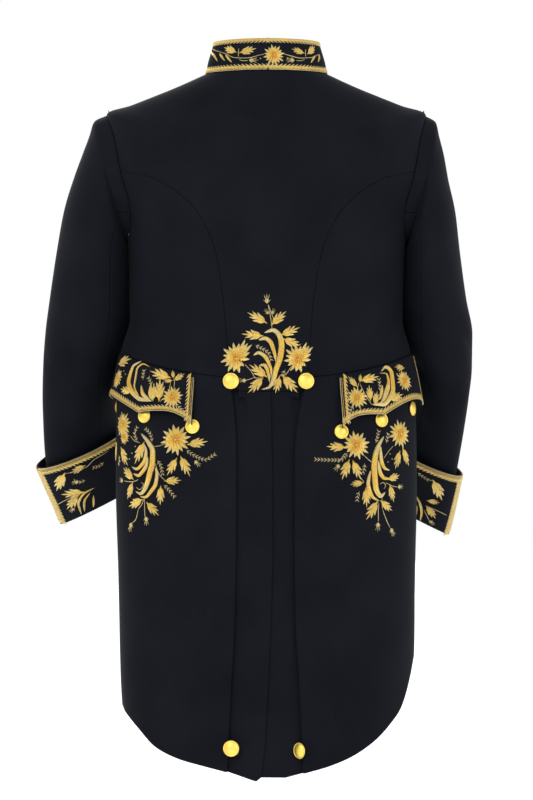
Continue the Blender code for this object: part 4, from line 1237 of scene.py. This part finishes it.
# spray on the small of the back
spray = {
    "leaves": ((265.9, 322.6, 248.1, 312.4), (272.2, 324.4, 285.8, 310.9), (281.6, 334.7, 299.2, 327.5),
               (283.5, 338.9, 300.7, 346.2), (262.4, 335.9, 242.2, 334.0), (266.3, 376.4, 249.8, 365.0),
               (262.4, 378.3, 248.3, 392.9), (279.3, 376.8, 275.4, 393.6), (283.1, 376.0, 297.2, 392.9)),
    "stems": (((275, 322), (271, 312), (268, 304)), ((268, 304), (271.4, 323), (272.2, 331)),
              ((244.5, 364), (251, 371), (256, 378), (262, 378)), ((291, 367), (285, 375), (279.5, 376)),
              ((245, 380.6), (250, 379), (256, 377))),
    "fronds": ((3.5, (264, 332.8), (273.1, 330.1), (280, 337), (281.6, 346.2), (280, 357.7), (276.2, 369.2),
                (273.1, 380.6), (268.6, 387.5), (261.3, 389.4)),
               (2.5, (258.6, 340.1), (264.7, 338.2), (270.1, 341.6), (273.1, 348.5), (275.1, 356.2),
                (275.6, 362)),
               (2.2, (253.3, 355.4), (258.6, 352.7), (264.7, 356.2), (268.6, 363), (271.2, 370.7),
                (270.9, 379.1)),
               (2.0, (259.4, 365), (264, 365), (267, 369.2), (268.6, 375.3), (269.7, 382.9))),
    "sprigs": (((254.8, 345.1), (262, 348.5), (268.6, 353.1), (271.6, 361.5)), ((285.4, 369.2),
                                                                                (284, 372),
                                                                                (282.3, 375.3))),
    "buds": ((267, 303.5, 92, 9.5), (246.5, 380.6, 178, 7.5), (268.6, 314, 128, 6.0),
             (271.5, 314, 58, 6.0)),
    "flowers": ((236.4, 358.4, 20, 1.0), (298.4, 359.2, 19, 1.0)),
    "berries": (),
}
# sprays on the tails under the flaps
leftSpray = {
    "leaves": ((188.4, 444.4, 207.9, 441.5), (176.4, 458.9, 167.3, 474.7), (181, 457.3, 189.7, 475.1),
               (165.2, 480.9, 181.4, 480.5), (160.7, 486.7, 160.2, 504.9), (116.7, 443.2, 115.9, 460.6),
               (121.3, 448.1, 127.5, 464.7), (143.7, 443.2, 134.9, 463.1), (132.9, 478.8, 123.3, 467.6),
               (132.5, 483, 127.5, 499.1), (142, 499.6, 128.7, 507), (147, 502.9, 158.6, 515.3)),
    "stems": (((138.7, 479.6), (132, 481.7), (123.8, 480.9)), ((144.5, 497.9), (144.9, 514.5),
                                                               (145.6, 519)),
              ((138.3, 509.5), (136.2, 518.6), (132, 523.6)), ((144.5, 497.9), (142, 504), (138.3, 509.5)),
              ((155.3, 463.1), (157.8, 471.4), (160.7, 476.3), (165.2, 480.5)),
              ((152.8, 446.5), (157.8, 446.1), (165.2, 444)), ((130.4, 435.7), (134.5, 440.7),
                                                               (140.3, 442.8)),
              ((136.2, 487.1), (139.5, 489.6), (143.7, 484.6), (141.2, 482.1))),
    "fronds": ((3.8, (140.8, 433.2), (147.8, 441.5), (152.8, 451.5), (152.4, 463.1), (149.9, 473),
                (147.8, 481.3),
                (144.5, 489.6), (140.3, 493.7), (135.4, 491.3)),
               (2.4, (143.7, 443.2), (146.1, 451.5), (144.9, 459.8), (141.2, 465.6), (136.2, 468.9),
                (131.6, 466.8)),
               (2.4, (147.8, 456.4), (146.6, 464.7), (142.8, 471.4), (137.9, 475.5), (133.3, 473.4)),
               (2.4, (155.3, 467.2), (156.9, 474.7), (155.7, 483.8), (151.1, 491.3), (145.3, 497.1),
                (139.9, 496.7))),
    "sprigs": (((185.9, 449.8), (195.9, 456.4), (205.8, 459.8), (211.6, 456.4), (216.6, 453.5)),
               ((163.6, 484.6), (169.4, 490.4), (175.2, 497.9)), ((156.9, 459.8), (161.1, 466.4),
                                                                  (162.3, 473.8)),
               ((137.4, 441.5), (134.5, 434), (137, 427.4)), ((152.4, 442.3), (150.3, 434), (144.5, 427.8)),
               ((119, 455), (119.6, 459.8), (118.5, 465))),
    "buds": ((194.6, 460.6, -45, 7.5), (123, 480.7, 172, 7.5), (146.1, 516.5, -84, 8.5),
             (131.6, 522.6, -110, 9.0)),
    "flowers": ((122.5, 424.5, 17, 1.12), (124.5, 437.0, 10, 1.1), (175.6, 439.8, 20.2, 1.0)),
    "berries": ((135.4, 446.5), (132, 453.1), (129.6, 458.9)),
}
rightSpray = {
    "leaves": ((345, 447.2, 326.2, 446.8), (349, 460.5, 342, 478.7), (353.2, 461.5, 360.7, 478.7),
               (388.5, 479.5, 399.7, 475), (390, 485.5, 393.7, 502), (399.7, 451.7, 395.2, 468.2),
               (402.7, 448.7, 408.7, 465.2), (363, 482.5, 350.2, 484.7), (366, 488.5, 366.7, 507.2),
               (377.2, 502, 366.7, 519.2), (381, 501.2, 392.2, 511)),
    "stems": (((345, 453), (341, 459), (338, 463)), ((385.5, 482.5), (393, 486.2), (397.5, 487)),
              ((378.7, 502), (378.3, 512), (378.3, 522)), ((382.5, 509.5), (387, 521.5), (390, 527.5)),
              ((382, 498), (382, 504), (382.5, 509.5)), ((363.5, 455), (369, 460), (374, 464)),
              ((352, 462), (358, 474), (364, 482)), ((393, 446), (388, 452), (384, 458)),
              ((380, 484), (383, 482.5), (385.5, 485.5), (384, 489))),
    "fronds": ((3.8, (384, 436), (376.5, 451), (374.2, 469), (375.7, 487), (381, 496), (385.5, 492.2)),
               (2.4, (380.2, 445), (381, 458.5), (384, 467.5), (390, 470.5)),
               (2.4, (378, 460), (379.5, 470.5), (384, 478), (391.5, 478.7)),
               (2.4, (370.5, 470.5), (368.2, 484), (372, 496), (379.5, 501.2))),
    "sprigs": (((348, 452.5), (340.5, 460), (327, 460), (314.2, 459.2)), ((375.7, 443.5), (377.5, 437),
                                                                          (378.7, 431.5)),
               ((386.2, 443.5), (387.5, 438), (388.5, 433)), ((364.5, 463), (364.5, 467.5), (363, 473)),
               ((359.5, 491), (357.7, 496), (357, 501))),
    "buds": ((339.5, 464.5, -130, 7.5), (397.8, 487, 5, 7.5), (378.1, 522.2, -95, 8.5),
             (390.6, 528.2, -60, 8.5)),
    "flowers": ((356.3, 445, 18.5, 1.0), (400.2, 433.8, 18.5, 1.08)),
    "berries": ((390, 454), (392, 459), (388, 462)),
}
leftFlap = {
    "leaves": ((174, 380, 185, 374), (169.5, 377.5, 151, 371.5), (159, 400, 160, 378), (153, 400, 154, 383),
               (119, 364, 131, 359), (131, 392, 120.5, 389), (173.5, 378, 172.5, 370),
               (172, 380.5, 163.5, 381)),
    "stems": (((160, 402), (168, 393), (171, 381)), ((174, 388), (174.5, 382), (174, 379.5))),
    "fronds": ((1.0, (142, 400), (134.5, 385), (137, 370), (144, 364), (150, 367)),
               (3.0, (152, 401), (140, 399), (131, 390), (129, 380), (133, 367), (142, 360.5)),
               (2.2, (150, 400), (143, 394), (141, 385)), (2.0, (152, 400), (150, 392), (151, 384))),
    "sprigs": (((143, 380), (143, 375), (144, 370)), ((152, 386), (150, 381), (148, 377)), ((174, 404),
                                                                                            (179, 407),
                                                                                            (183, 411))),
    "buds": (),
    "flowers": ((172.5, 397, 14.5, 1.0), (117.5, 378.5, 13, 0.95)),
    "berries": ((124, 371), (125.5, 374)),
}
rightFlap = {
    "leaves": ((357, 386.5, 348, 376.7), (361.5, 380.5, 378, 376.7), (370.5, 400, 369, 385),
               (375, 404.5, 377.2, 391),
               (390, 400, 402.7, 394), (404, 368, 394.5, 367), (360, 382, 360.7, 374)),
    "stems": (((372, 405), (366, 396), (360, 384)), ((357, 390), (358, 386), (359, 383))),
    "fronds": ((1.0, (378, 404), (386, 397), (389, 385), (386.5, 374), (379, 373)),
               (3.0, (372, 404.5), (384, 404.5), (393, 389.5), (391.5, 373), (385.5, 367), (381, 371.5)),
               (2.0, (381, 403), (385.5, 392.5), (388.5, 380.5), (387, 373)), (1.8, (379.5, 400),
                                                                               (381.7, 391), (382.5, 385))),
    "sprigs": (((380, 392), (380, 386), (379, 380)), ((354, 405), (351, 410), (349, 414))),
    "buds": (),
    "flowers": ((357, 397.7, 14.5, 1.0), (404.5, 380.5, 14, 1.0)),
    "berries": ((399, 371), (397, 374)),
}
leftCuff = {
    "leaves": ((64.2, 474, 53.7, 489), (84.5, 465.7, 69.5, 472.5), (83, 492, 59.7, 492.7),
               (77.7, 496.5, 65, 507.7)),
    "stems": (((84.5, 492), (70, 498), (56, 505.5)), ((109, 450.5), (95, 459), (84.5, 468), (63.5, 474)),
              ((77, 500), (76, 504), (74.5, 508))),
    "fronds": ((1.5, (81.5, 514.5), (78.5, 504), (86, 492), (95, 487.5)), (1.3, (84.5, 511.5),
                                                                           (84.5, 501), (90.5, 492)),
               (1.2, (93.5, 507), (93.5, 501), (93.5, 495))),
    "sprigs": (((86, 480), (80, 482), (75, 481)), ((104, 462), (99, 466), (92, 468))),
    "buds": ((78.5, 482, 190, 7), (74.5, 508, -135, 7)),
    "flowers": (), "berries": (),
}
rightCuff = {
    "leaves": ((433.5, 481, 444, 499), (427.5, 500.5, 440.2, 502), (426.7, 506.5, 436.5, 517.7)),
    "stems": (((426, 505.7), (436, 510), (447, 515.5)), ((427.5, 479.5), (433.5, 481), (438, 486)),
              ((424, 510), (427, 516), (429.5, 521))),
    "fronds": ((1.5, (414, 493), (420, 503.5), (421.5, 514), (420, 521.5)), (1.2, (415.5, 502),
                                                                             (416.5, 509), (416, 517))),
    "sprigs": (((417, 472), (422, 476), (427.5, 479.5)),),
    "buds": ((429.5, 520.5, -50, 7),),
    "flowers": (), "berries": (),
}
collarSpray = {
    "leaves": ((235.7, 52, 224, 48), (240.2, 52.5, 256.4, 48.9), (303.7, 53, 291.6, 49.3),
               (308, 53.5, 315, 47)),
    "stems": (((212.4, 48.4), (224.9, 53.4), (234.8, 57.6), (246.4, 58), (258, 55.5), (264.7, 53.8)),
              ((283.7, 53.8), (291.2, 55.9), (299.5, 58), (310.3, 57.6), (319.4, 53.8)),
              ((238.6, 56.7), (238.4, 52), (239, 48.5)), ((305.7, 56.7), (305.4, 53), (305.7, 49.3)),
              ((239, 59.6), (243.5, 60.8), (248, 60.5)), ((305, 59.6), (300, 60.8), (296, 60.5))),
    "fronds": ((1.3, (211.5, 50.5), (214.5, 56), (217.8, 61.5)), (1.2, (219.5, 53.5), (222, 57), (225, 61)),
               (1.2, (225.5, 54.5), (228.5, 58.5), (232, 62.5)), (1.2, (315, 55.5), (313, 59), (310.8, 63)),
               (1.2, (319.2, 54.5), (319, 58.5), (318, 62))),
    "sprigs": (),
    "buds": ((249.0, 60.2, 0, 8.5), (294.5, 60.2, 180, 8.5)),
    "flowers": ((274.0, 55.0, 14.0, 1.0),),
    "berries": ((260.5, 58.5), (287.5, 58.5)),
}


def work(carrier, plan, tone=0.42, narrow=1.0):
    if plan["leaves"]:
        leaves(carrier, plan["leaves"], tone, narrow)
    for places in plan["stems"]:
        stem(carrier, places)
    for half, *places in plan["fronds"]:
        frond(carrier, places, half, tone + 0.05, rise=0.7 + 0.28 * half)
    for places in plan["sprigs"]:
        sprig(carrier, places)
    for x, y, degrees, size in plan["buds"]:
        bud(carrier, (x, y), degrees, size)
    for x, y, radius, squash in plan["flowers"]:
        flower(carrier, (x, y), radius, squash)
    if plan["berries"]:
        berries(carrier, plan["berries"])


# borders of cords and slanted leaves beside an edge: offsets in millimetres from the edge into the cloth.
# The edge is a path of grid places in order, and way says on which side of it the cloth lies
def inset(carrier, edge, depth, way):
    ground = grounds[carrier]
    points = gridAt(ground["points"], edge)
    normal = unit(gridAt(ground["normals"], edge))
    aside = way * np.cross(normal, unit(np.gradient(points, axis=0)))
    right = unit(np.cross([0.0, 0.0, 1.0], normal))
    up = np.cross(normal, right)
    depth = np.broadcast_to(np.asarray(depth, float), (len(edge),))[:, None]
    return stepOver(ground, edge, np.stack([(aside * right).sum(-1), (aside * up).sum(-1)], -1) * depth)


def evenly(carrier, path, pitch):
    reach = np.linalg.norm(np.diff(gridAt(grounds[carrier]["points"], path), axis=0), axis=-1)
    reach = np.concatenate([[0], reach.cumsum()])
    at = np.linspace(0, reach[-1], max(int(reach[-1] / pitch), 4) + 1)
    return np.stack([np.interp(at, reach, path[:, k]) for k in (0, 1)], -1)


# an edge without its first and last millimetres
def trimmed(carrier, edge, first, last):
    reach = np.linalg.norm(np.diff(gridAt(grounds[carrier]["points"], edge), axis=0), axis=-1)
    reach = np.concatenate([[0], reach.cumsum()])
    at = np.linspace(first, reach[-1] - last, len(edge))
    return np.stack([np.interp(at, reach, edge[:, k]) for k in (0, 1)], -1)


def cord(carrier, edge, depth, way, half=0.7, rise=1.1, tone=0.15, section="dome", pitch=1.6, trim=(0, 0)):
    edge = trimmed(carrier, edge, trim[0] * depth, trim[1] * depth)
    path = evenly(carrier, inset(carrier, edge, depth, way), pitch)
    raised(carrier, path[None], half, rise, tone, section=section)


# two leaves lie side by side at each place, the inner one shorter, so that the row has a jagged inner side
def leafRow(carrier, edge, depth, way, pitch=5.0, reach=9.0, slant=0.26, half=1.4, tone=0.45, trim=(0, 0)):
    edge = trimmed(carrier, edge, trim[0] * depth, trim[1] * depth)
    middle = evenly(carrier, inset(carrier, edge, depth, way), pitch)
    ahead = np.gradient(middle, axis=0)
    angle, _ = reachOf(carrier, middle, middle + ahead * 0.5)
    rows = [(-0.5, -way * slant, 0.5, way * slant * 0.35, half / reach, 1.2, 0.1),
            (-0.42, -way * slant * 0.5, 0.34, way * slant * 1.5, 0.8 * half / reach, 1.0, 0.0)]
    motif(carrier, middle, angle, reach, rows, [tone, tone - 0.2], fade=-0.5)


def edgePath(first, last, count):
    return np.linspace(first, last, count)


def flapBorder(side, name):
    carrier = f"flap_{name}"
    rows, columns = grounds[carrier]["points"].shape[:2]
    rear = edgePath((1.5, 0), (rows - 1.0, 0), 60)
    lower = edgePath((rows - 1.0, 0), (rows - 1.0, columns - 1.0), 260)
    fore = edgePath((rows - 1.0, columns - 1.0), (1.5, columns - 1.0), 60)
    for edge, trim in ((rear, (0, 1.7)), (lower, (1.7, 0.6)), (fore, (0.6, 0))):
        cord(carrier, edge, 0.8, -side, half=0.6, rise=1.1, tone=0.0, trim=trim)
        cord(carrier, edge, 2.4, -side, half=0.5, rise=0.9, tone=0.25, trim=trim)
        if edge is not fore:
            leafRow(carrier, edge, 5.2, -side, trim=trim)


def collarBorder():
    carrier = "collar"
    rows, columns = grounds[carrier]["points"].shape[:2]
    middle = (columns - 1) / 2
    for first, last, flip in ((middle, 1.0, 1), (middle, columns - 2.0, -1)):
        top = edgePath((rows - 1.0, first), (rows - 1.0, last), 240)
        base = edgePath((0.0, first), (0.0, last), 240)
        cord(carrier, top, 0.9, flip, half=0.6, tone=0.05)
        leafRow(carrier, top, 3.6, flip)
        for depth, tone in ((0.8, 0.1), (2.2, 0.3)):
            cord(carrier, base, depth, -flip, half=0.6, tone=tone)
        leafRow(carrier, base, 5.0, -flip, pitch=5.4, reach=9.0, half=1.4)


def cuffCords(carrier, edge, way):
    for depth, half, tone in ((0.9, 0.65, 0.05), (2.6, 0.6, 0.3), (4.2, 0.5, 0.1)):
        cord(carrier, edge, depth, way, half=half, tone=tone)


def cuffBorder(side, name):
    carrier = f"cuff_{name}"
    rows, columns = grounds[carrier]["points"].shape[:2]
    top = edgePath((0.0, 0.5), (0.0, columns - 1.5), 300)
    way = -1 if side > 0 else 1
    cuffCords(carrier, top, way)
    leafRow(carrier, top, 7.2, way, pitch=5.4, reach=9.0, half=1.6)
    for column, turn in ((0.0, 1), (columns - 1.0, -1)):
        edge = edgePath((0.5, column), (rows - 1.5, column), 80)
        cuffCords(carrier, edge, way * -turn)
        leafRow(carrier, edge, 7.4, way * -turn, pitch=5.4, reach=8.6, half=1.7, trim=(0.5, 0.6))


work("back", spray)
work("skirt_left", leftSpray)
work("skirt_right", rightSpray)
work("flap_left", leftFlap)
work("flap_right", rightFlap)
work("cuff_left", leftCuff, tone=0.35)
work("cuff_right", rightCuff, tone=0.35)
work("collar", collarSpray)
for side, name in ((1, "left"), (-1, "right")):
    flapBorder(side, name)
    cuffBorder(side, name)
collarBorder()

for carrier, parts in stitches.items():
    counts = np.cumsum([0] + [len(part[0]) for part in parts[:-1]])
    faces = np.concatenate([part[1] + first for part, first in zip(parts, counts)])
    points, tones, threads = (np.concatenate([part[k] for part in parts]) for k in (0, 2, 3))
    makePiece(f"needlework_{carrier}", points, faces, goldStuff, "gilt_button",
              sharp=0, tones=tones, threads=threads)
print("needlework made")
# pale floor far below the hem, soft even light
floorMesh = bpy.data.meshes.new("floor")
wide, level = 30.0, -1.55
corners = [(x * wide, y * wide, level) for x, y in ((-1, -1), (1, -1), (1, 1), (-1, 1))]
floorMesh.from_pydata(corners, [], [(0, 1, 2, 3)])
floorMesh.update()
floorStuff, _, _, floorShader = newMaterial("paleFloor", 0.9, 0.0)
floorShader.inputs["Base Color"].default_value = (0.92, 0.92, 0.92, 1)
floorShader.inputs["Emission Color"].default_value = (1.0, 1.0, 1.0, 1)
floorShader.inputs["Emission Strength"].default_value = 0.4
floorMesh.materials.append(floorStuff)
floor = bpy.data.objects.new("floor", floorMesh)
scene.collection.objects.link(floor)

world = bpy.data.worlds.new("studio")
scene.world = world
world.use_nodes = True
world.node_tree.nodes["Background"].inputs["Color"].default_value = (1.0, 1.0, 1.0, 1)
world.node_tree.nodes["Background"].inputs["Strength"].default_value = 1.0

# each lamp: place in metres, size, power and colour
lamps = {
    "keyLamp": ((1.8, 2.6, 1.5), 1.6, 60.0, (1.0, 0.98, 0.95)),
    "fillLamp": ((-2.4, 2.2, 0.4), 2.2, 30.0, (0.94, 0.97, 1.0)),
    "frontLamp": ((0.6, -3.0, 1.2), 2.0, 40.0, (1.0, 1.0, 1.0)),
}
for name, (place, size, power, colour) in lamps.items():
    light = bpy.data.lights.new(name, "AREA")
    light.size, light.energy, light.color = size, power, colour
    lamp = bpy.data.objects.new(name, light)
    scene.collection.objects.link(lamp)
    lamp.location = place
    aim = np.array([0, 0, -0.45]) - np.array(place)
    lamp.rotation_euler = (math.atan2(math.hypot(aim[0], aim[1]), -aim[2]), 0, math.atan2(-aim[0], aim[1]))
scene.view_settings.view_transform = "Standard"
print("stage lit")
